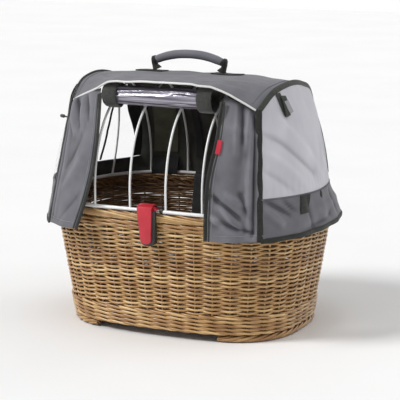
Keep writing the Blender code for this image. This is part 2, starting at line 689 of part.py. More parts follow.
for side, word in ((1, "right"), (-1, "left")):

    def patch(u, w, side=side):
        """The lined patch between the last two hoops."""
        across = side * mix(*PATCH_ACROSS_SHARES, u if side > 0 else 1 - u)
        return back_cloth((across + 1) / 2, mix(*PATCH_DOWN_SHARES, w))

    def tape(u, w, side=side):
        """The tape that slants down beside the next hoop."""
        middle = side * mix(*TAPE_LEAN_SHARES, w)
        wide = BACK_STRAP_WIDTH / CORNER_LOW_X
        return back_cloth((middle + (u - 0.5) * wide + 1) / 2, mix(*TAPE_DOWN_SHARES, w))

    def anchor(u, w, side=side):
        """The tab that hangs in front of the back wire and holds the hood to it."""
        share = mix(*ANCHOR_ACROSS_SHARES, u if side > 0 else 1 - u)
        place = mix(hoop_places[-2], hoop_places[-1], share)
        z = mix(SEAM_Z, TUB_TOP + 3 * GAP, w)
        near = -RING_WIRE - 4 * GAP - LINING
        away = mix(CLOTH, near, min(1.0, w / ANCHOR_TUCK_SHARE))
        return Vector((side * place, ring_y(place) + away, z))

    lining_lift = CLOTH / 2 + 3 * GAP + LINING / 2
    carry(cage_hinge, sheet("back_patch_" + word, OLIVE_LINING, patch, 4, 6, LINING, lining_lift))
    carry(cage_hinge, sheet("back_tape_" + word, BLACK_CLOTH, tape, 2, 8, LINING, lining_lift))
    carry(cage_hinge, sheet("anchor_tab_" + word, BLACK_CLOTH, anchor, 5, 6, LINING))

    def strap(u, w, side=side):
        """The folded roll-up strap near the top of the side panel."""
        v = mix(*SIDE_STRAP_ACROSS_SHARES, u if side > 0 else 1 - u)
        return side_cloth(side, v, mix(*SIDE_STRAP_DOWN_SHARES, w))

    def tab(u, w, side=side):
        """The webbing tab sewn on the skirt."""
        v = mix(*SKIRT_TAB_ACROSS_SHARES, u if side > 0 else 1 - u)
        return side_skirt(side, v, mix(*SKIRT_TAB_DOWN_SHARES, w))

    tab_lift = CLOTH / 2 + GAP + TAB_THICK / 2
    carry(cage_hinge, sheet("side_strap_" + word, DARK_WEB, strap, 2, 5, TAB_THICK, tab_lift))
    carry(cage_hinge, sheet("skirt_tab_" + word, DARK_WEB, tab, 2, 4, TAB_THICK, tab_lift))

# Straps that hold the back wire to the tub: a loop over the wire and a tail inside the wall
loop_inner = RING_WIRE + GAP
loop_outer = loop_inner + HINGE_STRAP_THICK
arc_shares = [i / 8 for i in range(9)]
inner_arc = [(RING_HALF_Y + loop_inner * math.cos(math.pi * a), RING_Z + loop_inner * math.sin(math.pi * a))
             for a in arc_shares]
outer_arc = [(RING_HALF_Y + loop_outer * math.cos(math.pi * a), RING_Z + loop_outer * math.sin(math.pi * a))
             for a in arc_shares]


def tail_y(z):
    """Where the strap's tail lies against the inside of the border, at its outer edge."""
    half_x, half_y = tub_half(z)
    inset = WALL_THICK + BORDER_PROUD
    reach = (HINGE_STRAP_X + HINGE_STRAP_WIDTH / 2) / (half_x - inset)
    return (half_y - inset) * (1 - reach ** TUB_POWER) ** (1 / TUB_POWER) - GAP


tail_top = TUB_TOP + 2 * GAP
tail_low = RING_Z - HINGE_STRAP_DROP
strap_outline = inner_arc + [(tail_y(tail_top), tail_top), (tail_y(tail_low), tail_low),
                             (tail_y(tail_low) - HINGE_STRAP_THICK, tail_low),
                             (tail_y(tail_top) - HINGE_STRAP_THICK, tail_top)] + outer_arc[::-1]
for side, word in ((1, "right"), (-1, "left")):
    prism("hinge_strap_" + word, BLACK_CLOTH, strap_outline,
          side * HINGE_STRAP_X - HINGE_STRAP_WIDTH / 2, side * HINGE_STRAP_X + HINGE_STRAP_WIDTH / 2)

# Rolled clear window, held against the middle hoops by two straps
seat_share = 0.61
seat = through(HALF_HOOP, seat_share)
ahead = through(HALF_HOOP, seat_share + 0.02)
dome_height = roof_under(0.0, 0.5) - GAP - HOOP_WIRE - FOOT_Z
lean = Vector((0.0, (seat.x - ahead.x) * RING_HALF_Y, (ahead.y - seat.y) * dome_height)).normalized()
outward = Vector((0.0, -lean.z, lean.y))
roll_centre = Vector((0.0, -seat.x * RING_HALF_Y, FOOT_Z + seat.y * dome_height))
roll_centre += outward * (HOOP_WIRE + ROLL_STRAP_THICK + ROLL_RADIUS)
roll_loops = []
for i in range(19):
    x = mix(-ROLL_HALF, ROLL_HALF, i / 18)
    loop = []
    for k in range(16):
        angle = math.tau * k / 16
        dent = 1 + math.sin(3 * angle + 21 * x / ROLL_HALF) * math.sin(2 * angle - 9 * x / ROLL_HALF)
        radius = ROLL_RADIUS - ROLL_CRINKLE * dent
        loop.append(roll_centre + Vector((x, radius * math.cos(angle), radius * math.sin(angle))))
    roll_loops.append(loop)
carry(cage_hinge, stack("window_roll", WINDOW_FOIL, roll_loops, smooth=60.0))
for side, word in ((1, "right"), (-1, "left")):
    strap_end = side * (ROLL_HALF + ROLL_STRAP_THICK)
    strap_start = strap_end - side * ROLL_STRAP_WIDTH
    carry(cage_hinge, hoop_band("roll_strap_" + word, DARK_WEB, roll_centre, ROLL_RADIUS + GAP,
                                ROLL_RADIUS + GAP + ROLL_STRAP_THICK, strap_start, strap_end))

# Carry handle: patches sewn to the roof, webbing ends and a padded grip that lie down together
axis_z = RIDGE_Z + CLOTH / 2 + PATCH_THICK + 2 * GAP + HANDLE_WEB_WIDTH / 2
handle_hinge = pivot("handle_hinge", Vector((HANDLE_X, 0.0, axis_z)), cage_hinge)
for side, word in ((1, "right"), (-1, "left")):
    near, far = (PATCH_START, PATCH_END) if side > 0 else (-PATCH_END, -PATCH_START)

    def sole(u, w, near=near, far=far):
        """The patch on the roof under one end of the handle."""
        share = 0.5 + mix(-1, 1, w) * PATCH_HALF_WIDTH / (2 * ROOF_FRONT_Y)
        x = HANDLE_X + mix(near, far, u)
        return roof_cloth((x / (arch(1, share).x - SEAM_CLEAR) + 1) / 2, share)

    carry(cage_hinge, sheet("handle_patch_" + word, DARK_WEB, sole, 6, 4, PATCH_THICK,
                            -(CLOTH / 2 + GAP + PATCH_THICK / 2)))
    web_loops = []
    web_radius = HANDLE_WEB_WIDTH / 2
    for i in range(9):
        if i < 6:
            angle = mix(0.14, 0.5, i / 5) * math.pi
            rise = -web_radius * math.cos(angle)
            half = web_radius * math.sin(angle)
        else:
            rise = mix(0.0, GRIP_RADIUS * 2, (i - 5) / 3)
            half = mix(web_radius, GRIP_RADIUS, (i - 5) / 3)
        lean_share = (rise + web_radius) / (web_radius + 2 * GRIP_RADIUS)
        x = HANDLE_X + side * (HANDLE_HALF - (1 - lean_share) * web_radius)
        web_loops.append([Vector((x + a * HANDLE_WEB_THICK / 2, b * half, axis_z + rise))
                          for a, b in ((1, 1), (1, -1), (-1, -1), (-1, 1))])
    carry(handle_hinge, stack("handle_end_" + word, DARK_WEB, web_loops))

grip_half = HANDLE_HALF - HANDLE_WEB_THICK / 2 - HANDLE_WEB_THICK
grip_line = []
for i in range(17):
    share = mix(-1, 1, i / 16)
    grip_line.append(Vector((HANDLE_X + share * grip_half, 0.0,
                             axis_z + GRIP_RADIUS + GRIP_RISE * (1 - share * share))))
grip = tube("handle_grip", GREY_CLOTH, grip_line, GRIP_RADIUS)
grip.data.bevel_resolution = 4
carry(handle_hinge, grip)

# Door flaps: they hang from the front corner seams and end in half a zip
FLAP_TOP_DROP = 0.009
FLAP_PAST_HEM = 0.001
FLAP_TOP_Z = CORNER_TOP_Z - FLAP_TOP_DROP
FLAP_LOW_Z = HEM_Z - FLAP_PAST_HEM
# Each zip's line as shares: of the seam's half width, of the rim's half depth, and of the
# height from the flap's hem to the ridge
RIGHT_ZIP_SHARES = ((0.6067, 0.7772, 0.8896), (0.6272, 0.9348, 0.6549), (0.5810, 1.0326, 0.4077),
                    (0.5604, 1.0679, 0.1812), (0.5553, 1.0734, 0.0))
LEFT_ZIP_SHARES = ((-0.5553, 0.7772, 0.8814), (-0.4936, 0.9511, 0.6549), (-0.5013, 1.0380, 0.4077),
                   (-0.5656, 1.0761, 0.1812), (-0.6684, 1.0761, 0.0))


def zip_places(line_shares):
    """The places that a zip runs through."""
    return [Vector((x_share * CORNER_LOW_X, -y_share * TOP_HALF_Y, mix(FLAP_LOW_Z, RIDGE_Z, z_share)))
            for x_share, y_share, z_share in line_shares]


ZIP_LINES = {"right": zip_places(RIGHT_ZIP_SHARES), "left": zip_places(LEFT_ZIP_SHARES)}
FLAP_SWELL = 0.006
FOLD_DEPTH = 0.0035
FLAP_EDGE = 0.0048
TAB_START_SHARE = 0.86
TAB_DOWN_SHARES = (0.26, 0.37)


def flap_cloth(side, zip_line, u, w):
    """One door flap: u runs from the corner seam to the zip, w from the top to the hem."""
    seam = corner(side, -1, mix(FLAP_TOP_Z, FLAP_LOW_Z, w))
    point = mix(seam, through(zip_line, w), u)
    held = 4 * u * (1 - u)
    folds = math.sin(math.tau * (1.6 * u + 0.35 * w)) * (0.4 + 0.6 * (1 - w))
    dents = math.sin(math.tau * (0.8 * u - 1.3 * w)) * w * w
    push = FLAP_SWELL * held + FOLD_DEPTH * held * (folds + dents)
    return point + Vector((side * 0.35, -0.94, 0.0)) * push


for side, word in ((1, "right"), (-1, "left")):
    zip_line = ZIP_LINES[word]
    flap_hinge = pivot(word + "_flap_hinge", corner(side, -1, FLAP_TOP_Z), cage_hinge)
    flap_width = (corner(side, -1, SEAM_Z) - through(zip_line, 0.6)).length

    def flap(u, w, side=side, zip_line=zip_line, start=FLAP_EDGE / flap_width):
        """The flap's cloth between the corner seam and the zip tape."""
        return flap_cloth(side, zip_line, mix(start, 1 - start, u), w)

    carry(flap_hinge, sheet(word + "_flap", GREY_CLOTH, flap, 12, 12, CLOTH))
    zip_points = [through(zip_line, i / 16) for i in range(17)]
    carry(flap_hinge, strip(word + "_flap_zip", BLACK_CLOTH, zip_points,
                            [Vector((0.0, -1.0, 0.0))] * 17, BINDING_HALF, CLOTH))
    if side > 0:

        def red_tab(u, w, start=FLAP_EDGE / flap_width):
            """The small bare tab sewn beside the zip."""
            return flap_cloth(1, ZIP_LINES["right"], mix(TAB_START_SHARE, 1 - start, u),
                              mix(*TAB_DOWN_SHARES, w))

        carry(flap_hinge, sheet("flap_tab", RED_CLOTH, red_tab, 1, 3, LINING,
                                -(CLOTH / 2 + GAP + LINING / 2)))

# Latch: a base screwed to the tub and a red lever that swings on the front wire
latch_hinge = pivot("latch_hinge", Vector((LATCH_X, -RING_HALF_Y, RING_Z)), cage_hinge)
border_out = TOP_HALF_Y + BORDER_PROUD - RING_HALF_Y + GAP
base_out = border_out + LATCH_BASE_THICK
lever_in = base_out + LATCH_CLEAR
lever_out = lever_in + LATCH_THICK
latch_lean = LATCH_LEAN_SHARE * (TOP_HALF_Y - BASE_HALF_Y) / (TUB_TOP - TUB_BOTTOM)
wire_hole = RING_WIRE + GAP
SLOT_TURN = math.radians(100)
ROUND_SHARES = (-1.0, -0.85, -0.55, 0.0, 0.55, 0.85, 1.0)


def latch_piece(name, finish, outline, width, taper_share):
    """A profile of (outward, height) from the front wire, narrower and rounded at its lower end.

    Below the rim it leans in with the wall, by a little less, so that it clears the base as the
    cage tips. Where outward is None the point lies against the wall.
    """
    loops = []
    lowest = min(height for reach, height in outline)
    for share in ROUND_SHARES:
        loop = []
        for reach, height in outline:
            raised = LATCH_TIP_LIFT * abs(share) ** 3 if height == lowest else 0.0
            down = max(0.0, TUB_TOP - RING_Z - height - raised)
            if reach is None:
                reach = tub_half(RING_Z + height + raised)[1] + WEAVE_PROUD - RING_HALF_Y + GAP
            else:
                reach -= latch_lean * down
            half = mix(1.0, taper_share, max(0.0, height / lowest)) * width / 2
            loop.append(Vector((LATCH_X + share * half, -RING_HALF_Y - reach, RING_Z + height + raised)))
        loops.append(loop)
    return stack(name, finish, loops)


slot_arc = [(wire_hole * math.cos(SLOT_TURN * i / 6), wire_hole * math.sin(SLOT_TURN * i / 6))
            for i in range(7)]
lever_outline = slot_arc + [
    (LATCH_TOP * math.cos(SLOT_TURN), LATCH_TOP * math.sin(SLOT_TURN)),
    (lever_out * 0.5, LATCH_TOP), (lever_out - LATCH_THICK, LATCH_TOP * 0.85), (lever_out, LATCH_TOP * 0.3),
    (lever_out, -LATCH_DROP), (lever_in, -LATCH_DROP), (lever_in, -RING_WIRE),
    (wire_hole, 2 * GAP - RING_WIRE)]
carry(latch_hinge, latch_piece("latch_lever", RED_PLASTIC, lever_outline, LATCH_WIDTH, LATCH_TAPER_SHARE))

base_top = -2 * RING_WIRE
border_foot = BORDER_LOW - GAP
base_outline = [(border_out, base_top), (base_out, base_top), (base_out, -LATCH_BASE_DROP),
                (None, -LATCH_BASE_DROP), (None, border_foot - RING_Z - GAP),
                (border_out, border_foot - RING_Z - GAP)]
latch_piece("latch_base", BLACK_PLASTIC, base_outline, LATCH_BASE_WIDTH, LATCH_BASE_TAPER_SHARE)
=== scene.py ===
"""Dog bicycle basket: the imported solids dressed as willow, coated wire, cloth and plastic."""
import math
import random

import bmesh
import bpy
import numpy as np
from mathutils import Matrix, Vector, noise


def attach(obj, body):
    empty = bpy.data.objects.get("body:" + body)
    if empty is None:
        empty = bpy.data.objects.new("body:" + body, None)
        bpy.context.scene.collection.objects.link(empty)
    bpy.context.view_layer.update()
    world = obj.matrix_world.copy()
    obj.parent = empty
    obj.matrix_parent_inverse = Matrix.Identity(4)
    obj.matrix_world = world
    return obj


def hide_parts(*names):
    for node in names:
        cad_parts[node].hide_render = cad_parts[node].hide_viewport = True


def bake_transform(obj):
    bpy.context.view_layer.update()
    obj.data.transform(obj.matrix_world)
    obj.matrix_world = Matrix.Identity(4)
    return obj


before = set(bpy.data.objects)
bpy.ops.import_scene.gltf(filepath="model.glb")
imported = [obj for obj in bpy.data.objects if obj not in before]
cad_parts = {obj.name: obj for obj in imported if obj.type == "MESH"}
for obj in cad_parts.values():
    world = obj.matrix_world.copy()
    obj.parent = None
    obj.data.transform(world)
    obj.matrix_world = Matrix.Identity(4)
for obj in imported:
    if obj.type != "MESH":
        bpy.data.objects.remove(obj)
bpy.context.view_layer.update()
bpy.ops.object.select_all(action="DESELECT")

# Willow tub. Upright stakes stand round an oval base, thin rods are woven in and out of them one
# by one, and thicker bands of three rods close the wall at the bottom and under the rim.
TUB_BOTTOM, TUB_TOP = 0.013, 0.2172
BASE_HALF_X, BASE_HALF_Y = 0.205, 0.152
TOP_HALF_X, TOP_HALF_Y = 0.236, 0.184
TUB_POWER = 2.9
WALL_MIDDLE = 0.0042
STAKES = 42
STAKE_RADIUS = 0.0024
WALE_TOP = 0.047
BORDER_LOW = 0.2012
UPPER_WALE_LOW = 0.1888

turn_angles = np.linspace(0.0, math.tau, 6001)


def oval(half_x, half_y, angle):
    """Points of a rounded rectangle at turn angles, as two rows of x and y."""
    c, s = np.cos(angle), np.sin(angle)
    return (half_x * np.sign(c) * np.abs(c) ** (2 / TUB_POWER),
            half_y * np.sign(s) * np.abs(s) ** (2 / TUB_POWER))


middle_x, middle_y = oval((BASE_HALF_X + TOP_HALF_X) / 2, (BASE_HALF_Y + TOP_HALF_Y) / 2, turn_angles)
way = np.concatenate([[0.0], np.cumsum(np.hypot(np.diff(middle_x), np.diff(middle_y)))])
WAY_ROUND = way[-1]


def wall(share, z, out):
    """Points on the tub's wall: share of the way round, height, and how far outside its middle."""
    angle = np.interp(np.mod(share, 1.0), way / WAY_ROUND, turn_angles)
    rise = (z - TUB_BOTTOM) / (TUB_TOP - TUB_BOTTOM)
    x, y = oval(BASE_HALF_X + (TOP_HALF_X - BASE_HALF_X) * rise - WALL_MIDDLE + out,
                BASE_HALF_Y + (TOP_HALF_Y - BASE_HALF_Y) * rise - WALL_MIDDLE + out, angle)
    return np.stack([x, y, z + 0.0 * x], axis=-1)


def outwards(share, z):
    """The way out of the wall at the same places."""
    return wall(share, z, 0.001) - wall(share, z, 0.0)


def dress(piece, body, node=None):
    """Parent a piece to the body that carries it and hide the solid that it stands for."""
    if body:
        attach(piece, body)
    if node:
        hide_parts(node)
    return piece


def table(places):
    """Places or directions as rows of numbers. One direction alone counts for all."""
    return np.array([tuple(place) for place in places] if np.ndim(places[0]) else tuple(places), float)


def run_along(points):
    """How far along a path each of its points lies."""
    return np.concatenate([[0.0], np.cumsum(np.linalg.norm(np.diff(points, axis=0), axis=1))])


def lay_rods(name, rods, sides, finish, body, node=None, square=1.0):
    """One mesh of many rods. A rod is its points, the way its flat side faces, its two half
    thicknesses, and then, unless it is open and of middle tone, whether it closes and its tone."""
    corners, faces, tones, grain, outers = [], [], [], [], []
    start = 0
    for rod in rods:
        points, facing, half_thick, half_tall, closed, tone = (*rod, False, 0.5)[:6]
        points, facing = table(points), table(facing)
        count = len(points)
        if closed:
            ahead = np.roll(points, -1, 0) - np.roll(points, 1, 0)
        else:
            ahead = np.gradient(points, axis=0)
        ahead /= np.linalg.norm(ahead, axis=1, keepdims=True)
        facing = facing - ahead * np.sum(facing * ahead, 1, keepdims=True)
        facing /= np.linalg.norm(facing, axis=1, keepdims=True)
        across = np.cross(facing, ahead)
        angle = math.tau * np.arange(sides) / sides
        c = np.sign(np.cos(angle)) * np.abs(np.cos(angle)) ** square
        s = np.sign(np.sin(angle)) * np.abs(np.sin(angle)) ** square
        thick = np.broadcast_to(half_thick, (count,))[:, None, None]
        tall = np.broadcast_to(half_tall, (count,))[:, None, None]
        loop = points[:, None] + facing[:, None] * thick * c[:, None] + across[:, None] * tall * s[:, None]
        corners.append(loop.reshape(-1, 3))
        tones.append(np.full(count * sides, tone))
        # How far each point faces the rod's flat side; the willow reads it for painted shade and painted
        # highlight.
        outers.append(np.tile(0.5 + 0.5 * c, count))
        length = run_along(points)
        grain.append(np.stack([np.repeat(length, sides), np.tile(np.arange(sides) / sides, count)], 1))
        i = np.arange(count if closed else count - 1)[:, None] * sides
        k = np.arange(sides)
        here, beside = i + k, i + (k + 1) % sides
        above, over = (here + sides) % (count * sides), (beside + sides) % (count * sides)
        faces.append(np.stack([here, beside, over, above], -1).reshape(-1, 4) + start)
        if not closed:
            for ring in (np.arange(sides)[::-1], np.arange(sides) + (count - 1) * sides):
                faces.append([list(ring + start)])
        start += count * sides
    mesh = bpy.data.meshes.new(name)
    mesh.from_pydata(np.concatenate(corners), [], [tuple(f) for block in faces for f in block])
    for label, values in (("tone", tones), ("outer", outers)):
        mesh.attributes.new(label, "FLOAT", "POINT").data.foreach_set("value", np.concatenate(values))
    grain = np.concatenate(grain)
    ends = np.empty(len(mesh.loops), int)
    mesh.loops.foreach_get("vertex_index", ends)
    mesh.uv_layers.new(name="grain").data.foreach_set("uv", grain[ends].ravel())
    mesh.shade_smooth()
    mesh.set_sharp_from_angle(angle=math.radians(70))
    mesh.materials.append(finish)
    piece = bpy.data.objects.new(name, mesh)
    bpy.context.collection.objects.link(piece)
    return dress(piece, body, node)


def new_finish(name, colour, roughness, **sockets):
    """A Principled material and what is needed to wire more nodes to it."""
    made = bpy.data.materials.new(name)
    made.use_nodes = True
    shader = made.node_tree.nodes["Principled BSDF"]
    shader.inputs["Base Color"].default_value = (*colour, 1.0)
    shader.inputs["Roughness"].default_value = roughness
    for socket, value in sockets.items():
        shader.inputs[socket.replace("_", " ")].default_value = value
    return made, made.node_tree.nodes, made.node_tree.links, shader


def texture(nodes, links, kind, place, scale, **sockets):
    """A texture node of one kind, read at a place."""
    node = nodes.new("ShaderNodeTex" + kind)
    node.inputs["Scale"].default_value = scale
    for socket, value in sockets.items():
        node.inputs[socket].default_value = value
    links.new(place, node.inputs["Vector"])
    return node


def stretched(nodes, links, place, scale):
    """A place with its three sides scaled apart, for grain and streaks."""
    node = nodes.new("ShaderNodeMapping")
    node.inputs["Scale"].default_value = scale
    links.new(place, node.inputs["Vector"])
    return node.outputs["Vector"]


def shades(nodes, links, value, stops):
    """A ramp of colours over a value."""
    node = nodes.new("ShaderNodeValToRGB")
    ramp = node.color_ramp
    while len(ramp.elements) < len(stops):
        ramp.elements.new(0.5)
    for element, (position, colour) in zip(ramp.elements, stops):
        element.position = position
        element.color = (*colour, 1.0)
    links.new(value, node.inputs["Fac"])
    return node.outputs["Color"]


def blended(nodes, links, kind, share, first, second):
    """Two colours mixed in one way, by a fixed or linked share."""
    node = nodes.new("ShaderNodeMix")
    node.data_type = "RGBA"
    node.blend_type = kind
    for socket, value in ((node.inputs[0], share), (node.inputs[6], first), (node.inputs[7], second)):
        if isinstance(value, bpy.types.NodeSocket):
            links.new(value, socket)
        else:
            socket.default_value = value
    return node.outputs[2]


def raised(nodes, links, shader, height, strength, distance):
    """Bump from a height."""
    node = nodes.new("ShaderNodeBump")
    node.inputs["Strength"].default_value = strength
    node.inputs["Distance"].default_value = distance
    links.new(height, node.inputs["Height"])
    links.new(node.outputs["Normal"], shader.inputs["Normal"])


def attribute(nodes, label):
    """A value that the mesh carries at each vertex."""
    node = nodes.new("ShaderNodeAttribute")
    node.attribute_name = label
    return node.outputs["Fac"]


def spread(nodes, over="grain"):
    """Where a pattern is read: along the rods or threads of a piece, or over the whole piece."""
    if over == "piece":
        return nodes.new("ShaderNodeTexCoord").outputs["Object"]
    node = nodes.new("ShaderNodeUVMap")
    node.uv_map = "grain"
    return node.outputs["UV"]


willow, nodes, links, shader = new_finish("varnished_willow", (0.60, 0.37, 0.15), 0.38,
                                          Coat_Weight=0.35, Coat_Roughness=0.22)
streak = texture(nodes, links, "Noise", stretched(nodes, links, spread(nodes), (28.0, 5.0, 1.0)), 1.0,
                 Detail=3.0, Roughness=0.6).outputs["Fac"]
cloud = texture(nodes, links, "Noise", spread(nodes, "piece"), 55.0, Detail=2.0).outputs["Fac"]
colour = shades(nodes, links, attribute(nodes, "tone"),
                [(0.0, (0.20, 0.090, 0.030)), (0.35, (0.36, 0.190, 0.066)),
                 (0.7, (0.52, 0.320, 0.130)), (1.0, (0.74, 0.53, 0.27))])
# The last ramp, over the outer attribute, is painted shade and painted highlight: dark on each rod's back and
# along its edges where rods meet, pale on the side it faces out of the wall or up.
for amount, value, stops in (
        (0.85, streak, [(0.3, (0.62, 0.48, 0.34)), (0.52, (1.0, 1.0, 1.0)), (0.75, (1.12, 1.10, 1.0))]),
        (0.8, cloud, [(0.3, (0.80, 0.70, 0.58)), (0.6, (1.05, 1.04, 1.0))]),
        (1.0, attribute(nodes, "outer"), [(0.0, (0.30, 0.25, 0.22)), (0.5, (0.46, 0.40, 0.35)),
                                          (0.78, (0.95, 0.94, 0.92)), (1.0, (1.08, 1.08, 1.06))])):
    colour = blended(nodes, links, "MULTIPLY", amount, colour, shades(nodes, links, value, stops))
links.new(colour, shader.inputs["Base Color"])
raised(nodes, links, shader, streak, 0.5, 0.0004)

dice = random.Random(11)


def swelling(share, seed, amount):
    """Slow thick and thin places along a rod."""
    spots = [Vector((math.cos(math.tau * s) * 3.0, math.sin(math.tau * s) * 3.0, seed * 7.3)) for s in share]
    return 1 + amount * np.array([noise.noise(spot) for spot in spots])


RANDING_PITCH = 0.0036
ROD_TALL, ROD_THICK = 0.0021, 0.0017
SWING = 0.0032
STEPS_PER_STAKE = 7
share = np.arange(STAKES * STEPS_PER_STAKE) / (STAKES * STEPS_PER_STAKE)
rods = []
row_count = int((UPPER_WALE_LOW - WALE_TOP) / RANDING_PITCH)
for row in range(row_count):
    z = WALE_TOP + (row + 0.5) * (UPPER_WALE_LOW - WALE_TOP) / row_count
    wave = np.cos(math.pi * STAKES * share + math.pi * row)
    girth = swelling(share, row, 0.45)
    height = z - 0.0010 * wave + 0.0012 * (swelling(share, row + 40, 1.0) - 1)
    path = wall(share, height, SWING * wave * (0.92 + 0.08 * girth))
    rods.append((path, outwards(share, height), ROD_THICK * girth, ROD_TALL * (0.4 + 0.6 * girth), True,
                 dice.uniform(0.35, 0.95)))
lay_rods("wicker_weave", rods, 7, willow, "basket", "wicker_wall")

rods = []
for i in range(STAKES):
    z = np.linspace(TUB_BOTTOM + 0.003, BORDER_LOW + 0.006, 26)
    at = i / STAKES + 0.0003 * np.sin(z * 60 + i)
    rods.append((wall(at, z, 0.0 * z), outwards(at, z), STAKE_RADIUS, STAKE_RADIUS * dice.uniform(0.55, 0.75),
                 False, dice.uniform(0.5, 0.9)))
lay_rods("wicker_stakes", rods, 8, willow, "basket")


def wale_row(low, height, swing, seed):
    """A band of three rods, each in front of two stakes and behind one, slanting as it goes."""
    made = []
    for k in range(3):
        phase = (share * STAKES + k) / 3
        turn = math.tau * (phase - 1 / 3)
        out = swing * np.tanh(1.7 * (np.cos(turn) + 0.35))
        girth = swelling(share, seed + 3 * k, 0.35)
        z = low + height / 2 - 0.21 * height * np.sin(turn) + 0.0008 * (girth - 1)
        made.append((wall(share, z, out), outwards(share, z), 0.0020 * girth, 0.0023 * girth, True,
                     dice.uniform(0.3, 0.95)))
    return made


for name, node, bands, low, height, swing, seed in (
        ("wicker_wale", "bottom_wale", 5, TUB_BOTTOM + 0.0005, 0.0067, 0.0045, 0),
        ("wicker_upper_wale", None, 2, UPPER_WALE_LOW, 0.0062, 0.0040, 70)):
    rods = [rod for row in range(bands) for rod in wale_row(low + row * height, height, swing, seed + row * 11)]
    lay_rods(name, rods, 7, willow, "basket", node)

# Rim. The stakes are bent down to the side in turn, run behind one stake and in front of the next
# ones, and are tucked in, which makes a thick border of nearly level rods.
rods = []
for layer, (rise, reach, push) in enumerate(((0.0146, 4.4, 1.0), (0.0112, 5.0, 0.80), (0.0080, 4.6, 0.60))):
    for i in range(STAKES):
        t = np.linspace(0.0, 1.0, 30)
        at = (i + 0.37 * layer + t * reach) / STAKES
        up = np.clip(t / 0.16, 0, 1)
        up = up * up * (3 - 2 * up)
        down = np.clip((t - 0.3) / 0.7, 0, 1) ** 1.2
        lift = dice.uniform(-0.0006, 0.0006)
        z = BORDER_LOW - 0.001 + rise * up - (rise - 0.0012) * 0.72 * down + lift * up
        across = np.interp(t, [0.0, 0.10, 0.24, 0.36, 0.84, 0.95, 1.0],
                           [0.0, -0.0044, -0.0044, 0.0050 * push, 0.0050 * push, 0.0022, -0.0005])
        across = np.convolve(np.pad(across, 2, mode="edge"), np.ones(5) / 5, "valid")
        thick = dice.uniform(0.0018, 0.0024) * (1.0 - 0.25 * t)
        rods.append((wall(at, z, across), outwards(at, z), thick, thick * 1.05, False, dice.uniform(0.45, 1.0)))
lay_rods("rim_plait", rods, 8, willow, "basket", "rim_border")

# Floor of the tub. Long sticks lie from end to end and thin rods are woven across them.
FLOOR_Z = 0.0180
FLOOR_STICKS = 10
floor_x, floor_y = BASE_HALF_X - 0.0075, BASE_HALF_Y - 0.0075


def floor_reach(at, half_at, half_reach):
    """How far the floor reaches sideways at a place along its other side."""
    return half_reach * (1 - min(1.0, abs(at / half_at)) ** TUB_POWER) ** (1 / TUB_POWER)


rods = []
level = np.array([0.0, 0.0, 1.0])
stick_step = 2 * floor_y / FLOOR_STICKS
for i in range(FLOOR_STICKS):
    y = -floor_y + (i + 0.5) * stick_step
    reach = floor_reach(y, floor_y, floor_x)
    x = np.linspace(-reach, reach, 12)
    path = np.stack([x, y + 0 * x, FLOOR_Z + 0 * x], 1)
    rods.append((path, level, 0.0026, 0.0032, False, dice.uniform(0.1, 0.6)))
FLOOR_PITCH = 0.0058
count = int(2 * floor_x / FLOOR_PITCH)
for row in range(count):
    x = -floor_x + (row + 0.5) * 2 * floor_x / count
    reach = floor_reach(x, floor_x, floor_y)
    y = np.linspace(-reach, reach, max(8, int(2 * reach / stick_step * 4)))
    z = FLOOR_Z + 0.0030 * np.sin(math.pi * y / stick_step + math.pi * row)
    path = np.stack([x + 0 * y, y, z], 1)
    rods.append((path, level, 0.0014, 0.0027, False, dice.uniform(0.2, 0.9)))
lay_rods("floor_weave", rods, 6, willow, "basket", "wicker_base")

# Feet. A twisted bundle of rods is bound under each end and carries the basket.
for word, middle, foot_turn in (("right", 0.0, math.radians(66)), ("left", math.pi, math.radians(62))):
    rods = []
    angle = np.linspace(middle - foot_turn, middle + foot_turn, 120)
    slim = 1 - 0.35 * np.abs(np.linspace(-1, 1, 120)) ** 12
    x, y = oval(BASE_HALF_X - 0.0055, BASE_HALF_Y - 0.0055, angle)
    centre = np.stack([x, y, 0.00645 + 0 * x], 1)
    bend = np.stack([x / BASE_HALF_X, y / BASE_HALF_Y, 0 * x], 1)
    bend /= np.linalg.norm(bend, axis=1, keepdims=True)
    length = run_along(centre)
    for k in range(4):
        twist = math.tau * (length / 0.085 + k / 4)
        path = (centre + bend * (0.0040 * slim * np.cos(twist))[:, None]
                + level * (0.0033 * slim * np.sin(twist))[:, None])
        rods.append((path, bend, 0.0031 * slim, 0.0030 * slim, False, dice.uniform(0.2, 0.8)))
    lay_rods("foot_rope_" + word, rods, 8, willow, "basket", "foot_border_" + word)

# Rack plate. A moulded black plate under the floor, between the feet, sits on the rack. It keeps
# the shape of its solid.


def patterned(name, colour, roughness, low, high, look, at=(0.3, 0.7), bump=None, own=None, **sockets):
    """A material between two colours that follow a pattern, with bump from it or from one of its
    own. A pattern is what it is read over, its kind, its scale, and its detail or distortion."""
    made, nodes, links, shader = new_finish(name, colour, roughness, **sockets)

    def value(over, kind, scale, amount=None):
        """One pattern's value."""
        more = {} if amount is None else {"Detail" if kind == "Noise" else "Distortion": amount}
        return texture(nodes, links, kind, spread(nodes, over), scale, **more).outputs["Fac"]

    seen = value(*look)
    links.new(shades(nodes, links, seen, list(zip(at, (low, high)))), shader.inputs["Base Color"])
    if bump:
        raised(nodes, links, shader, value(*own) if own else seen, *bump)
    return made


black_plastic = patterned("moulded_black", (0.022, 0.023, 0.022), 0.42, (0.018, 0.019, 0.018),
                          (0.035, 0.036, 0.034), ("piece", "Noise", 30.0, 3.0), bump=(0.25, 0.0002),
                          own=("piece", "Noise", 1400.0, 1.0))
rack_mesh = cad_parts["rack_plate"].data
rack_mesh.materials.clear()
rack_mesh.materials.append(black_plastic)

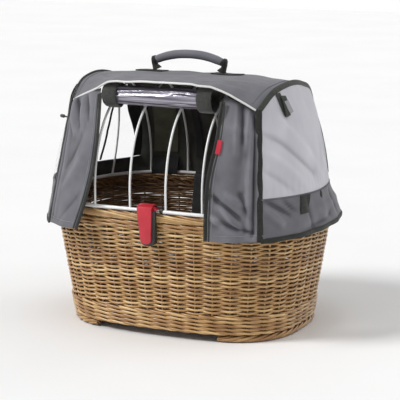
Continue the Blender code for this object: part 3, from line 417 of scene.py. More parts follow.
# Cage. White coated steel wire: a ring that lies on the rim, hoops welded over it from front to
# back, one at each end, and a wire along the ridge under them.
RING_HALF_X, RING_HALF_Y, RING_Z = 0.231, 0.178, 0.2205
RING_STRAIGHT_HALF, RING_POWER = 0.085, 2.2
RING_WIRE, HOOP_WIRE = 0.0031, 0.002
HOOP_SPACING = 0.0655
RIDGE_Z, CLOTH = 0.4288, 0.0018
CORNER_TOP = Vector((0.1725, 0.122, 0.388))
CORNER_LOW = Vector((0.1945, 0.165, 0.187))
BACK_CORNER_Z = 0.366
ARCH_BULGE, ARCH_RISE = 0.0125, 0.034
ROOF_FRONT_Y, ROOF_BACK_Y, ROOF_BACK_Z = 0.152, 0.147, 0.371
SEAM_CLEAR = 0.0035
GAP = 0.0003
SIDES = ((1, "right"), (-1, "left"))

white_wire = patterned("white_coating", (0.88, 0.88, 0.87), 0.28, (0.83, 0.83, 0.82), (0.90, 0.90, 0.89),
                       ("piece", "Noise", 240.0, 2.0), bump=(0.08, 0.0004), Coat_Weight=0.4,
                       Coat_Roughness=0.12)


def through(points, share):
    """A smooth place along a list of points, at a share of the way from 0 to 1."""
    place = share * (len(points) - 1)
    i = max(0, min(int(place), len(points) - 2))
    t = place - i
    before = points[max(i - 1, 0)]
    after = points[min(i + 2, len(points) - 1)]
    a, b = points[i], points[i + 1]
    slope_a = (b - before) / (2 if i else 1)
    slope_b = (after - a) / (2 if i < len(points) - 2 else 1)
    return (a * ((1 + 2 * t) * (1 - t) ** 2) + slope_a * (t * (1 - t) ** 2)
            + b * (t * t * (3 - 2 * t)) + slope_b * (t * t * (t - 1)))


def mix(a, b, share):
    """A place between a and b."""
    return a + (b - a) * share


ARCH_SHARES = [Vector((-1.0, 0.0)), Vector((-0.667, 0.73)), Vector((-0.333, 0.97)),
               Vector((0.0, 1.0)), Vector((0.333, 0.80)), Vector((0.667, 0.42)),
               Vector((1.0, (BACK_CORNER_Z - CORNER_TOP.z) / ARCH_RISE))]
MID_ROOF = []
for y_share, drop_share in zip((-1.0, -0.68, -0.34, 0.0, 0.38, 0.72, 1.0),
                               (-0.03, -0.05, -0.03, 0.0, 0.09, 0.37, 1.0)):
    reach = ROOF_BACK_Y if y_share > 0 else ROOF_FRONT_Y
    MID_ROOF.append(Vector((y_share * reach, RIDGE_Z - drop_share * (RIDGE_Z - ROOF_BACK_Z))))


def arch(side, v):
    """The seam over one end of the hood, from the front corner to the back one."""
    share = through(ARCH_SHARES, v)
    x = CORNER_TOP.x + ARCH_BULGE * (1 - min(1.0, share.x * share.x))
    return Vector((side * x, share.x * CORNER_TOP.y, CORNER_TOP.z + share.y * ARCH_RISE))


def roof_line(u, w):
    """The roof's middle surface: u from the left end to the right one, w from front to back."""
    across = 2 * u - 1
    end = arch(1, w)
    middle = through(MID_ROOF, w)
    drop = max(0.0, (abs(across) - 0.4) / 0.6) ** 1.3
    return Vector((across * (end.x - SEAM_CLEAR), mix(middle.x, end.y, drop), mix(middle.y, end.z, drop)))


def roof_under(x, w):
    """Height of the roof cloth's lower face over a place along X."""
    return roof_line((x / (arch(1, w).x - SEAM_CLEAR) + 1) / 2, w).z - CLOTH / 2


def ring_y(x):
    """Half depth of the ring at a place along X."""
    share = max(0.0, abs(x) - RING_STRAIGHT_HALF) / (RING_HALF_X - RING_STRAIGHT_HALF)
    return RING_HALF_Y * (1 - share ** RING_POWER) ** (1 / RING_POWER)


ring_path = []
for side, begin in ((1, -math.pi / 2), (-1, math.pi / 2)):
    for i in range(61):
        angle = begin + math.pi * i / 60
        c, s = math.cos(angle), math.sin(angle)
        ring_path.append((side * RING_STRAIGHT_HALF
                          + (RING_HALF_X - RING_STRAIGHT_HALF) * math.copysign(abs(c) ** (2 / RING_POWER), c),
                          RING_HALF_Y * math.copysign(abs(s) ** (2 / RING_POWER), s), RING_Z))
lay_rods("ring_wire_coated", [(ring_path, level, RING_WIRE, RING_WIRE, True, 0.5)], 12, white_wire, "cage",
         "ring_wire")

HALF_HOOP = [Vector(p) for p in ((1.0, 0.0), (1.0, 0.20), (0.965, 0.38), (0.895, 0.545), (0.79, 0.69),
                                 (0.64, 0.81), (0.45, 0.91), (0.23, 0.975), (0.0, 1.0))]
FOOT_Z = RING_Z + RING_WIRE + GAP
WELD_Z = FOOT_Z - 0.0018
END_HOOP_X, END_HOOP_TOP_X = 0.213, 0.176


def bend_hoop(name, node, foot_x, top_x):
    """One welded hoop, its feet sunk a little into the ring."""
    foot_y = ring_y(foot_x)
    top_z = roof_under(top_x, 0.5) - GAP - HOOP_WIRE
    path = []
    for i in range(-32, 33):
        share = through(HALF_HOOP, 1 - abs(i) / 32)
        x, z = mix(foot_x, top_x, share.y), mix(FOOT_Z, top_z, share.y)
        path.append((x, math.copysign(share.x * foot_y, i), z))
    path = [(*path[0][:2], WELD_Z), *path, (*path[-1][:2], WELD_Z)]
    lay_rods(name, [(path, (1.0, 0.0, 0.0), HOOP_WIRE, HOOP_WIRE)], 12, white_wire, "cage", node)


for number in range(6):
    x = (number - 2.5) * HOOP_SPACING
    bend_hoop("hoop_coated_%d" % (number + 1), "hoop_%d" % (number + 1), x, x)
for side, word in SIDES:
    bend_hoop("end_hoop_coated_" + word, "end_hoop_" + word, side * END_HOOP_X, side * END_HOOP_TOP_X)
path = [(x, 0.0, roof_under(x, 0.5) - 2 * GAP - 3 * HOOP_WIRE) for x in np.linspace(-0.18, 0.18, 49)]
lay_rods("ridge_wire_coated", [(path, level, HOOP_WIRE, HOOP_WIRE)], 12, white_wire, "cage",
         "ridge_wire")

# Roof. One piece of grey nylon, dark inside, lies over the hoops and is sewn into a binding at
# both ends. A little slack shows between the wires.


def paint_crease_shade(nodes, links, colour, share=1.0):
    """A cloth colour with painted shade in its hollows and painted highlight on its folds."""
    tint = shades(nodes, links, attribute(nodes, "hollow"),
                  [(0.0, (0.46, 0.46, 0.47)), (0.5, (0.98, 0.98, 0.98)), (1.0, (1.25, 1.25, 1.25))])
    return blended(nodes, links, "MULTIPLY", share, colour, tint)


def woven_nylon(name, grey):
    """Plain woven nylon with a little blue in its grey."""
    cloth, nodes, links, shader = new_finish(name, (grey, grey, 1.12 * grey), 0.74, Sheen_Weight=0.12,
                                             Sheen_Roughness=0.45, Specular_IOR_Level=0.35)
    cut = spread(nodes)
    warp, weft = (texture(nodes, links, "Wave", cut, 240.0, Distortion=0.4) for _ in range(2))
    weft.bands_direction = "Y"
    threads = blended(nodes, links, "MULTIPLY", 1.0, warp.outputs["Color"], weft.outputs["Color"])
    fade = texture(nodes, links, "Noise", spread(nodes, "piece"), 34.0, Detail=3.0).outputs["Fac"]
    melange = texture(nodes, links, "Noise", stretched(nodes, links, cut, (700.0, 2600.0, 1.0)), 1.0)
    low, high = [tuple(c * grey for c in tint) for tint in ((0.88, 0.88, 0.99), (1.12, 1.12, 1.24))]
    colour = blended(nodes, links, "MULTIPLY", 1.0, shades(nodes, links, fade, [(0.3, low), (0.7, high)]),
                     shades(nodes, links, melange.outputs["Fac"],
                            [(0.3, (0.86, 0.86, 0.87)), (0.7, (1.13, 1.13, 1.13))]))
    # Painted shade in the cloth's hollows and painted highlight on its folds.
    links.new(paint_crease_shade(nodes, links, colour), shader.inputs["Base Color"])
    raised(nodes, links, shader, threads, 0.18, 0.0002)
    return cloth


nylon = woven_nylon("grey_nylon", 0.152)
# The grip's nylon is the same grey nylon made more than twice as pale: painted highlight for the light on the
# grip's top.
grip_nylon_painted_highlight = woven_nylon("grip_nylon_painted_highlight", 0.34)
lining = patterned("dark_lining", (0.034, 0.035, 0.030), 0.9, (0.038, 0.039, 0.034), (0.068, 0.069, 0.059),
                   ("piece", "Noise", 40.0, 3.0), bump=(0.15, 0.0002), own=("grain", "Wave", 200.0, 0.4))


def cut_cloth(name, place, steps, thick, outside, inside, body, node):
    """A cloth panel on place(u, w), its weave laid out in metres. How far each place lies under or over the cloth
    about
    9 mm away is kept as an attribute, which the cloth colours use for painted shade in hollows and painted
    highlight on folds."""
    across, down = steps
    row = across + 1
    points = [place(i / across, j / down) for j in range(down + 1) for i in range(across + 1)]
    net = table(points).reshape(down + 1, row, 3)
    wide, tall = float(run_along(net[down // 2])[-1]), float(run_along(net[:, across // 2])[-1])
    m, n = [max(1, min(count // 2, round(0.009 * count / size)))
            for count, size in ((down, tall), (across, wide))]
    wide_net = np.pad(net, ((m, m), (n, n), (0, 0)), mode="reflect", reflect_type="odd")
    around = (wide_net[2 * m:, n:-n] + wide_net[:-2 * m, n:-n]
              + wide_net[m:-m, 2 * n:] + wide_net[m:-m, :-2 * n]) / 4
    out = np.cross(np.gradient(net, axis=1), np.gradient(net, axis=0))
    out /= np.linalg.norm(out, axis=2, keepdims=True)
    hollow = np.sum((around - net) * out, 2).ravel()
    mesh = bpy.data.meshes.new(name)
    faces = [(j * row + i, j * row + i + 1, (j + 1) * row + i + 1, (j + 1) * row + i)
             for j in range(down) for i in range(across)]
    middle = Vector((0.0, 0.0, 0.30))
    a, b, _, d = (points[k] for k in faces[len(faces) // 2 + across // 2])
    if (b - a).cross(d - a).dot(a - middle) < 0:
        faces = [face[::-1] for face in faces]
        hollow = -hollow
    mesh.from_pydata(points, [], faces)
    mesh.attributes.new("hollow", "FLOAT", "POINT").data.foreach_set("value", 0.5 - hollow / 0.003)
    weave_map = mesh.uv_layers.new(name="grain")
    for loop in mesh.loops:
        j, i = divmod(loop.vertex_index, row)
        weave_map.data[loop.index].uv = (i / across * wide, j / down * tall)
    mesh.materials.append(outside)
    mesh.materials.append(inside)
    mesh.shade_smooth()
    piece = bpy.data.objects.new(name, mesh)
    bpy.context.collection.objects.link(piece)
    shell = piece.modifiers.new("thickness", "SOLIDIFY")
    shell.thickness = thick
    shell.offset = 0.0
    shell.material_offset = 1
    bpy.context.view_layer.objects.active = piece
    piece.select_set(True)
    bpy.ops.object.modifier_apply(modifier="thickness")
    bpy.ops.object.shade_smooth_by_angle(angle=math.radians(50))
    piece.select_set(False)
    dress(piece, body, node)
    return piece


def creased(u, w, wide, tall, creases):
    """Height of a set of soft creases, each from one place on a panel to another."""
    height = 0.0
    for from_u, from_w, to_u, to_w, width, depth in creases:
        ax, ay = (to_u - from_u) * wide, (to_w - from_w) * tall
        px, py = (u - from_u) * wide, (w - from_w) * tall
        length = math.hypot(ax, ay)
        t = max(0.0, min(1.0, (px * ax + py * ay) / (length * length)))
        gap = math.hypot(px - t * ax, py - t * ay)
        height += depth * (0.35 + 0.65 * math.sin(math.pi * (0.1 + 0.8 * t))) * math.exp(-(gap / width) ** 1.5)
    return height


def uneven(point, size, seed):
    """Soft unevenness of cloth, from -1 to 1."""
    return noise.noise(point / size + Vector((seed, 0.0, 0.0)))


ROOF_CREASES = ((0.72, 0.10, 0.90, 0.14, 0.004, -0.0012), (0.10, 0.20, 0.30, 0.08, 0.006, 0.0012),
                (0.62, 0.06, 0.93, 0.30, 0.006, 0.0010), (0.86, 0.42, 0.97, 0.30, 0.005, -0.0010),
                (0.05, 0.36, 0.16, 0.20, 0.006, -0.0012))
FRONT_SAG = ((-0.172, 0.0), (-0.133, -0.0022), (-0.11, -0.0032), (-0.0876, -0.0012), (-0.0726, -0.0025),
             (-0.045, -0.0028), (0.016, -0.0008), (0.0465, -0.0022), (0.077, -0.0010), (0.098, 0.0042),
             (0.126, 0.0042), (0.1525, 0.0028), (0.172, 0.0))


def roof_place(u, w):
    """The roof with its slack between the wires and its soft creases."""
    point = roof_line(u, w)
    wires = 0.5 + 0.5 * math.cos(math.tau * (point.x / HOOP_SPACING + 0.5))
    held = math.sin(math.pi * min(1.0, max(0.0, u))) ** 0.5
    slack = -0.0013 * (1 - wires) * held * math.sin(math.pi * w) ** 0.5
    sag = float(np.interp(point.x, *zip(*FRONT_SAG))) * (1 - w) ** 4
    flutter = sag + 0.0007 * math.sin(31 * u + 0.6) * (1 - w) ** 5 * held
    return point + Vector((0.0, 0.0, slack + flutter + 0.0008 * uneven(point, 0.035, 3) * held
                           + creased(u, w, 0.36, 0.33, ROOF_CREASES) * held))


cut_cloth("roof_cloth", roof_place, (96, 64), CLOTH, nylon, lining, "cage", "roof_panel")

piping = patterned("silver_piping", (0.78, 0.78, 0.77), 0.35, (0.58, 0.58, 0.56), (0.86, 0.86, 0.84),
                   ("grain", "Noise", 900.0), at=(0.35, 0.6), Specular_IOR_Level=0.7)
path = []
for i in range(121):
    u = mix(0.004, 0.996, i / 120)
    edge = roof_place(u, 0.0)
    path.append(edge + (edge - roof_place(u, 0.02)).normalized() * 0.0012)
lay_rods("roof_edge_piping", [(path, level, 0.0018, 0.0018)], 10, piping, "cage",
         "roof_piping")

# Back and skirt. The grey cloth comes down over the rear wire and hangs outside the rim. The back
# is carried by the cage, and the skirt by no body.
SEAM_Z, SEAM_HALF_X = 0.250, 0.243
HEM_Z, HEM_HALF_X = 0.187, 0.2465
BACK_HALF_Y, BACK_BULGE, BACK_PANEL_LOW_Z = 0.1865, 0.0145, 0.2305
SPLIT_SHARE, LOW_SHARE = 0.80, 1.085
BACK_TUCK, TUCK_POWER = 0.013, 6
TUCK_PEAK = (TUCK_POWER / (TUCK_POWER + 1)) ** TUCK_POWER / (TUCK_POWER + 1)


def corner(side, front, z):
    """The seam down a corner of the hood, at height z. The back ones swell with the back."""
    top_z = CORNER_TOP.z if front < 0 else BACK_CORNER_Z
    share = (top_z - z) / (top_z - HEM_Z)
    depth = mix(CORNER_TOP.y, CORNER_LOW.y, share)
    if front > 0:
        fall = (BACK_CORNER_Z - z) / (BACK_CORNER_Z - BACK_PANEL_LOW_Z)
        depth += BACK_BULGE * math.sin(math.pi * max(0.0, min(1.0, fall)))
    return Vector((side * mix(CORNER_TOP.x, CORNER_LOW.x, share), front * depth, z))


def end_line(side, v, z, half_x):
    """The level line round one end of the hood, from the front corner to the back one."""
    ahead, behind = corner(side, -1, z), corner(side, 1, z)
    x = mix(abs(mix(ahead.x, behind.x, v)), half_x, 1 - abs(2 * v - 1) ** (2.4 if v < 0.5 else 3.0))
    x -= BACK_TUCK * v ** TUCK_POWER * (1 - v) / TUCK_PEAK * (z - HEM_Z) / (SEAM_Z - HEM_Z)
    return Vector((side * x, mix(ahead.y, behind.y, v), z))


DRAWN_AT = (0.18, 0.205, 0.2172, 0.2235, 0.235, 0.25, 0.30, 0.315, 0.34, 0.388)
DRAWN_IN = (0.002, 0.0035, 0.0025, 0.006, 0.008, 0.009, 0.009, 0.007, 0.002, 0.0)
DRAWN_PEAK = 0.8 ** 4 * 0.2


def drawn(side, v, point):
    """A place on an end, drawn in a little behind the middle, where the cloth is tight."""
    amount = float(np.interp(point.z, DRAWN_AT, DRAWN_IN)) * v ** 4 * (1 - v) / DRAWN_PEAK
    return point - Vector((side * amount, 0.0, 0.0))


def to_seam(side, v, w, top, low):
    """How far an end cloth is drawn out to follow the back seam between two of its places."""
    seam = corner(side, 1, mix(top.z, low.z, w))
    return Vector((0.0, (seam.y - mix(top.y, low.y, w)) * v ** TUCK_POWER, 0.0))


def back_place(u, w):
    """The back panel from the roof's back edge down to the seam of the skirt."""
    across = 2 * u - 1
    top = roof_line(u, 1.0)
    low_corner = corner(1, 1, BACK_PANEL_LOW_Z)
    top.x += (abs(across) * across) * (SEAM_CLEAR - 0.0008)
    low = Vector((across * (low_corner.x - 0.0008), mix(low_corner.y, BACK_HALF_Y, 1 - abs(across) ** 3),
                  BACK_PANEL_LOW_Z))
    fall = w * (BACK_CORNER_Z - SEAM_Z) / (BACK_CORNER_Z - BACK_PANEL_LOW_Z)
    point = mix(top, low, fall)
    point.z = mix(top.z, SEAM_Z, w)
    held = math.sin(math.pi * w) * (1 - across ** 6)
    swell = BACK_BULGE * math.sin(math.pi * fall)
    swell += (0.0012 * uneven(point, 0.05, 9) + creased(u, w, 0.37, 0.12, (
        (0.12, 0.1, 0.3, 0.8, 0.01, 0.002), (0.62, 0.9, 0.78, 0.2, 0.012, 0.0016)))) * held
    return point + Vector((0.0, swell, 0.0))


cut_cloth("back_cloth", back_place, (72, 28), CLOTH, nylon, lining, "cage", "back_panel")

BACK_HEM_HALF_Y = 0.1985
SIDE_REACH = 0.13
REAR_HEIGHTS = (0.181, 0.205, 0.2172, 0.235, 0.250)
REAR_HALF_Y = (BACK_HEM_HALF_Y, 0.1925, 0.1897, 0.1882, 0.1871)


def rear_skirt_place(u, w):
    """The skirt from the split at one end, round the back, to the split at the other end."""
    fall = LOW_SHARE * w
    z = mix(SEAM_Z, HEM_Z, fall)
    half_x = mix(SEAM_HALF_X, HEM_HALF_X, fall)
    ripple = 0.0016 * math.sin(math.tau * 7 * u + 1.2) * fall + 0.0012 * math.sin(math.tau * 17 * u) * fall ** 2
    if min(u, 1 - u) < SIDE_REACH:
        side, reach = (1, u / SIDE_REACH) if u < SIDE_REACH else (-1, (1 - u) / SIDE_REACH)
        v = mix(SPLIT_SHARE, 1.0, reach)
        return drawn(side, v, end_line(side, v, z, half_x)) * (1 + 3 * ripple * reach)
    across = 1 - 2 * (u - SIDE_REACH) / (1 - 2 * SIDE_REACH)
    turn = corner(1, 1, z)
    half_y = float(np.interp(z, REAR_HEIGHTS, REAR_HALF_Y))
    return Vector((across * turn.x, mix(turn.y, half_y, 1 - abs(across) ** 3) + ripple * (1 - across ** 8), z))


rear_skirt = cut_cloth("rear_skirt_cloth", rear_skirt_place, (150, 20), CLOTH, nylon, lining, None,
                       "rear_skirt")
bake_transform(rear_skirt)

# Ends. A light sheer panel fills each end under the arch, with a grey skirt sewn under it, and a
# dark tape binds the arch, the front corner and the hem.


def sheer_cloth(name, glow_share, open_share):
    """Thin pale cloth: part of the light glows through it, part passes straight through."""
    cloth, nodes, links, shader = new_finish(name, (0.72, 0.715, 0.78), 0.6, Sheen_Weight=0.2)
    cut = spread(nodes)
    haze = texture(nodes, links, "Noise", stretched(nodes, links, cut, (22.0, 12.0, 1.0)), 1.0, Detail=3.0)
    net = texture(nodes, links, "Wave", cut, 300.0)
    haze_colour = shades(nodes, links, haze.outputs["Fac"],
                         [(0.3, (0.70, 0.695, 0.75)), (0.7, (0.84, 0.835, 0.88))])
    # Painted shade in hollows and painted highlight on folds, at a little over half strength.
    links.new(paint_crease_shade(nodes, links, haze_colour, 0.55), shader.inputs["Base Color"])
    raised(nodes, links, shader, net.outputs["Fac"], 0.1, 0.0002)
    glow = nodes.new("ShaderNodeBsdfTranslucent")
    glow.inputs["Color"].default_value = (0.92, 0.92, 0.96, 1.0)
    clear = nodes.new("ShaderNodeBsdfTransparent")
    surface = shader.outputs[0]
    for part, part_share in ((glow, glow_share), (clear, open_share)):
        both = nodes.new("ShaderNodeMixShader")
        both.inputs[0].default_value = part_share
        links.new(surface, both.inputs[1])
        links.new(part.outputs[0], both.inputs[2])
        surface = both.outputs[0]
    links.new(surface, nodes["Material Output"].inputs["Surface"])
    return cloth


sheer = {1: sheer_cloth("sheer_panel", 0.30, 0.14), -1: sheer_cloth("sheer_open_panel", 0.60, 0.93)}


def web_cloth(name, low, high):
    """Ribbed webbing between a dark and a lighter tone."""
    return patterned(name, low, 0.82, low, high, ("piece", "Noise", 300.0, 2.0), bump=(0.35, 0.0003),
                     own=("grain", "Wave", 320.0, 0.6), Sheen_Weight=0.15, Specular_IOR_Level=0.3)


webbing = web_cloth("grey_webbing", (0.030, 0.033, 0.027), (0.058, 0.062, 0.052))
dark_webbing = web_cloth("dark_webbing", (0.010, 0.011, 0.009), (0.030, 0.031, 0.027))
black_tape = patterned("black_tape", (0.016, 0.016, 0.017), 0.85, (0.011, 0.011, 0.012), (0.026, 0.026, 0.027),
                       ("grain", "Wave", 400.0, 0.4), at=(0.2, 0.8), bump=(0.3, 0.0002))
thread = patterned("dark_thread", (0.035, 0.035, 0.038), 0.7, (0.025, 0.025, 0.027), (0.055, 0.055, 0.060),
                   ("grain", "Wave", 900.0), at=(0.2, 0.8))


def bind(name, path, facing, half_thick, half_wide, finish, body, node=None):
    """A flat tape or binding with soft edges along a path."""
    lay_rods(name, [(path, facing, half_thick, half_wide)], 12, finish, body, node, square=0.55)


def sew(name, lines, body, pitch=0.0042, length=0.0029, finish=thread):
    """Rows of short stitches, each row a list of places with the way out of the cloth."""
    rods = []
    for path, facing in lines:
        path = table(path)
        facing = table(facing) + 0 * path
        facing /= np.linalg.norm(facing, axis=1, keepdims=True)
        run = run_along(path)
        for k in range(int(run[-1] / pitch)):
            at = k * pitch + np.array([0.0, length * 0.5, length])
            place, out = (np.stack([np.interp(at, run, of[:, c]) for c in range(3)], 1) for of in (path, facing))
            place = place + out * np.array([0.0, 0.00035, 0.0])[:, None]
            rods.append((place, out, 0.00034, 0.00040))
    lay_rods(name, rods, 5, finish, body)


SIDE_BULGE = 0.0085
PANEL_WIDE, PANEL_TALL = 0.30, 0.155
PANEL_CREASES = {
    1: ((0.02, 0.27, 0.38, 0.84, 0.010, -0.0090), (0.02, 0.46, 0.30, 0.96, 0.008, 0.0050),
        (0.02, 0.68, 0.20, 0.99, 0.008, -0.0080), (0.14, 0.20, 0.52, 0.94, 0.012, 0.0040),
        (0.50, 0.12, 0.92, 0.60, 0.020, -0.0022), (0.84, 0.40, 0.92, 0.95, 0.009, -0.0030),
        (0.60, 0.74, 0.74, 0.99, 0.010, 0.0030)),
    -1: ((0.05, 0.35, 0.50, 0.85, 0.012, -0.0035), (0.35, 0.15, 0.80, 0.75, 0.016, 0.0035),
         (0.80, 0.30, 0.92, 0.92, 0.010, -0.0030)),
}
SKIRT_CREASES = {
    1: ((0.04, 0.06, 0.20, 0.42, 0.006, -0.0075), (0.02, 0.20, 0.14, 0.62, 0.006, 0.0050),
        (0.14, 0.05, 0.24, 0.34, 0.006, -0.0055), (0.30, 0.92, 0.70, 0.74, 0.006, -0.0050),
        (0.33, 0.05, 0.44, 0.90, 0.006, -0.0035), (0.75, 0.05, 0.88, 0.80, 0.007, -0.0045),
        (0.50, 0.50, 0.74, 0.95, 0.008, 0.0040)),
    -1: ((0.10, 0.10, 0.25, 0.80, 0.008, -0.0026), (0.60, 0.20, 0.75, 0.85, 0.009, 0.0022)),
}


def panel_place(side, v, w):
    """The light panel at one end: v from front to back, w from the arch to the skirt's seam."""
    point = mix(arch(side, v), end_line(side, v, SEAM_Z, SEAM_HALF_X), w)
    held = max(0.0, math.sin(math.pi * w)) ** 0.6 * max(0.0, math.sin(math.pi * v)) ** 0.35
    swell = SIDE_BULGE * math.sin(math.pi * w) * (1 - (2 * v - 1) ** 2) * mix(1.5, 0.5, v)
    creases = creased(v, w, PANEL_WIDE, PANEL_TALL, PANEL_CREASES[side])
    swell += held * (creases + 0.0012 * uneven(point, 0.03, 5))
    swell += 0.0009 * math.sin(math.tau * 26 * v) * math.exp(-(1 - w) / 0.07) * (1 - w) / 0.07
    point = drawn(side, v, point + Vector((side * swell, 0.0, 0.0)))
    return point + to_seam(side, v, w, arch(side, 1.0), corner(side, 1, SEAM_Z))


def skirt_place(side, v, w):
    """The grey skirt under the panel, down to the hem over the rim."""
    fall = LOW_SHARE * w
    point = mix(end_line(side, v, SEAM_Z, SEAM_HALF_X), end_line(side, v, HEM_Z, HEM_HALF_X), fall)
    out = creased(v / SPLIT_SHARE, w, 0.26, 0.063, SKIRT_CREASES[side]) * max(0.0, math.sin(math.pi * w)) ** 0.5
    out += 0.0010 * math.sin(math.tau * 5 * v) * w
    return (drawn(side, v, point + Vector((side * out, 0.0, 0.0)))
            + to_seam(side, v, fall, corner(side, 1, SEAM_Z), corner(side, 1, HEM_Z)))


for side, word in SIDES:

    def panel(u, w, side=side):
        """The panel up to just under its bindings."""
        v = u if side > 0 else 1 - u
        return panel_place(side, mix(0.006, 0.998, v), mix(0.018, 1.0, w))

    def skirt(u, w, side=side):
        """The skirt, which ends at the split behind."""
        v = u if side > 0 else 1 - u
        return skirt_place(side, mix(0.010, SPLIT_SHARE + 0.03, v), mix(0.0, 0.99, w))

    cut_cloth("end_panel_" + word, panel, (84, 56), 0.0014, sheer[side], sheer[side], "cage",
              "side_panel_" + word)
    cut_cloth("end_skirt_" + word, skirt, (84, 16), CLOTH, nylon, lining, "cage",
              "side_skirt_" + word)

    line = [arch(side, i / 60) for i in range(61)]
    line += [corner(side, 1, mix(BACK_CORNER_Z, SEAM_Z - 0.004, i / 16)) for i in range(1, 17)]
    outward = [Vector((side, 0.0, 0.75))] * 36
    outward += [Vector((side, -0.30 * i / 24, 0.75 - 0.5 * i / 24)) for i in range(1, 25)]
    outward += [Vector((side, mix(-0.3, 1.0, i / 17), 0.2 * (1 - i / 17))) for i in range(1, 18)]
    half_thick, half_wide = (np.interp(np.arange(len(line)), [48, 62], ends)
                             for ends in ([0.0014, 0.0007], [0.0050, 0.0026]))
    bind("arch_tape_" + word, line, outward, half_thick, half_wide, webbing, "cage",
         "arch_binding_" + word)
    line = [corner(side, -1, mix(CORNER_TOP.z + 0.001, HEM_Z - 0.0045, i / 40))
            + Vector((side * 0.0003 * math.sin(i * 0.9), -0.0004 * math.sin(i * 0.7), 0.0)) for i in range(41)]
    bind("corner_tape_" + word, line, (side, -1.0, 0.0), 0.0015, 0.0054, dark_webbing, "cage",
         "corner_binding_" + word)
    line = [skirt_place(side, mix(0.004, SPLIT_SHARE + 0.03, i / 60), 0.965) for i in range(61)]
    bind("hem_tape_" + word, line, (side, 0.0, 0.0), 0.0017, 0.0040, dark_webbing, "cage",
         "hem_binding_" + word)
    out = Vector((side, 0.0, 0.0))
    rows = [([skirt_place(side, mix(0.02, 0.80, i / 90), w) + out * lift for i in range(91)], out)
            for w, lift in ((0.035, 0.0011), (0.90, 0.0020))]
    sew("end_stitches_" + word, rows, "cage")

line = [rear_skirt_place(i / 160, 0.965) for i in range(161)]
facing = [Vector((p.x * 0.6, p.y, 0.0)) if p.y > 0.15 else Vector((p.x, 0.3 * p.y, 0.0)) for p in line]
bind("hem_tape_rear", line, facing, 0.0017, 0.0040, dark_webbing, "basket")

# Inside of the back. Olive patches and black tapes are sewn to the lining, and a short black tab
# on each side holds the hood to the rear wire.
olive = patterned("olive_lining_cloth", (0.105, 0.105, 0.072), 0.85, (0.085, 0.085, 0.058),
                  (0.125, 0.125, 0.088), ("piece", "Noise", 60.0, 3.0), bump=(0.15, 0.0004))


def inside_back(across, w, lift):
    """A place just inside the back panel."""
    return back_place((across + 1) / 2, w) - Vector((0.0, lift, 0.0))


for side, word in SIDES:

    def patch(u, w, side=side):
        """The olive patch between the last two hoops."""
        return inside_back(side * mix(0.64, 0.875, u if side > 0 else 1 - u), mix(0.10, 0.93, w), 0.0032)

    def tape(u, w, side=side):
        """The black tape that slants down beside the next hoop."""
        return inside_back(side * mix(0.455, 0.405, w) + (u - 0.5) * 0.072, mix(0.035, 1.0, w), 0.0036)

    def anchor(u, w, side=side):
        """The tab that hangs in front of the rear wire."""
        place = mix(HOOP_SPACING * 1.5, HOOP_SPACING * 2.5, mix(0.28, 0.955, u if side > 0 else 1 - u))
        away = mix(CLOTH, -0.0054, min(1.0, w / 0.75)) + 0.0006 * math.sin(9 * u) * w
        return Vector((side * place, ring_y(place) + away, mix(SEAM_Z, TUB_TOP + 0.0009, w)))

    for node, shape, finish, slot, steps in (("back_patch_", patch, olive, "olive_lining", (10, 24)),
                                             ("back_tape_", tape, black_tape, "black_cloth", (4, 24)),
                                             ("anchor_tab_", anchor, black_tape, "black_cloth", (10, 10))):
        cut_cloth(node + "cloth_" + word, shape, steps, 0.0012, finish, finish, "cage", node + word)

for side, word in SIDES:

    def facing_cloth(u, w, side=side):
        """The black facing inside the back edge of an end panel."""
        inner = float(np.interp(w, [0.0, 0.32, 0.7, 1.0], [0.84, 0.88, 0.92, 0.92]))
        v = mix(inner, 0.985, u if side > 0 else 1 - u)
        return panel_place(side, v, mix(0.08, 0.985, w)) - Vector((side * 0.0026, 0.0, 0.0))

    cut_cloth("end_facing_" + word, facing_cloth, (6, 24), 0.0010, black_tape, black_tape, "cage",
              None)
    behind = Vector((side * 0.0022, 0.0, 0.0))
    line = [panel_place(side, mix(0.79, 0.70, i / 40), mix(0.06, 0.985, i / 40)) - behind for i in range(41)]
    bind("end_tape_" + word, line, (side, 0.0, 0.0), 0.0007, 0.0034, black_tape, "cage")

# Straps on the ends. A folded strap under the arch holds the panel when it is rolled up, with a
# pale tab at its end, and a webbing tab and a small dark eyelet are sewn to the skirt.
pale_tab = patterned("pale_tab", (0.36, 0.36, 0.38), 0.7, (0.24, 0.24, 0.25), (0.44, 0.44, 0.47),
                     ("grain", "Noise", 900.0), at=(0.35, 0.65), bump=(0.4, 0.0003))


def off_cloth(place, side, v, w, lift):
    """A place just outside an end cloth, and the way out of it."""
    point = place(side, v, w)
    across = place(side, v + 0.01, w) - place(side, v - 0.01, w)
    down = place(side, v, w + 0.01) - place(side, v, w - 0.01)
    out = across.cross(down).normalized()
    if out.x * side < 0:
        out = -out
    return point + out * lift, out


def run_off(place, side, count, v_ends, w_ends, lift, rise=0.0):
    """A row of places just outside an end cloth, and the way out at each."""
    pairs = []
    for share in (i / (count - 1) for i in range(count)):
        pairs.append(off_cloth(place, side, mix(*v_ends, share), mix(*w_ends, share),
                               lift + rise * math.sin(math.pi * share)))
    return [list(column) for column in zip(*pairs)]


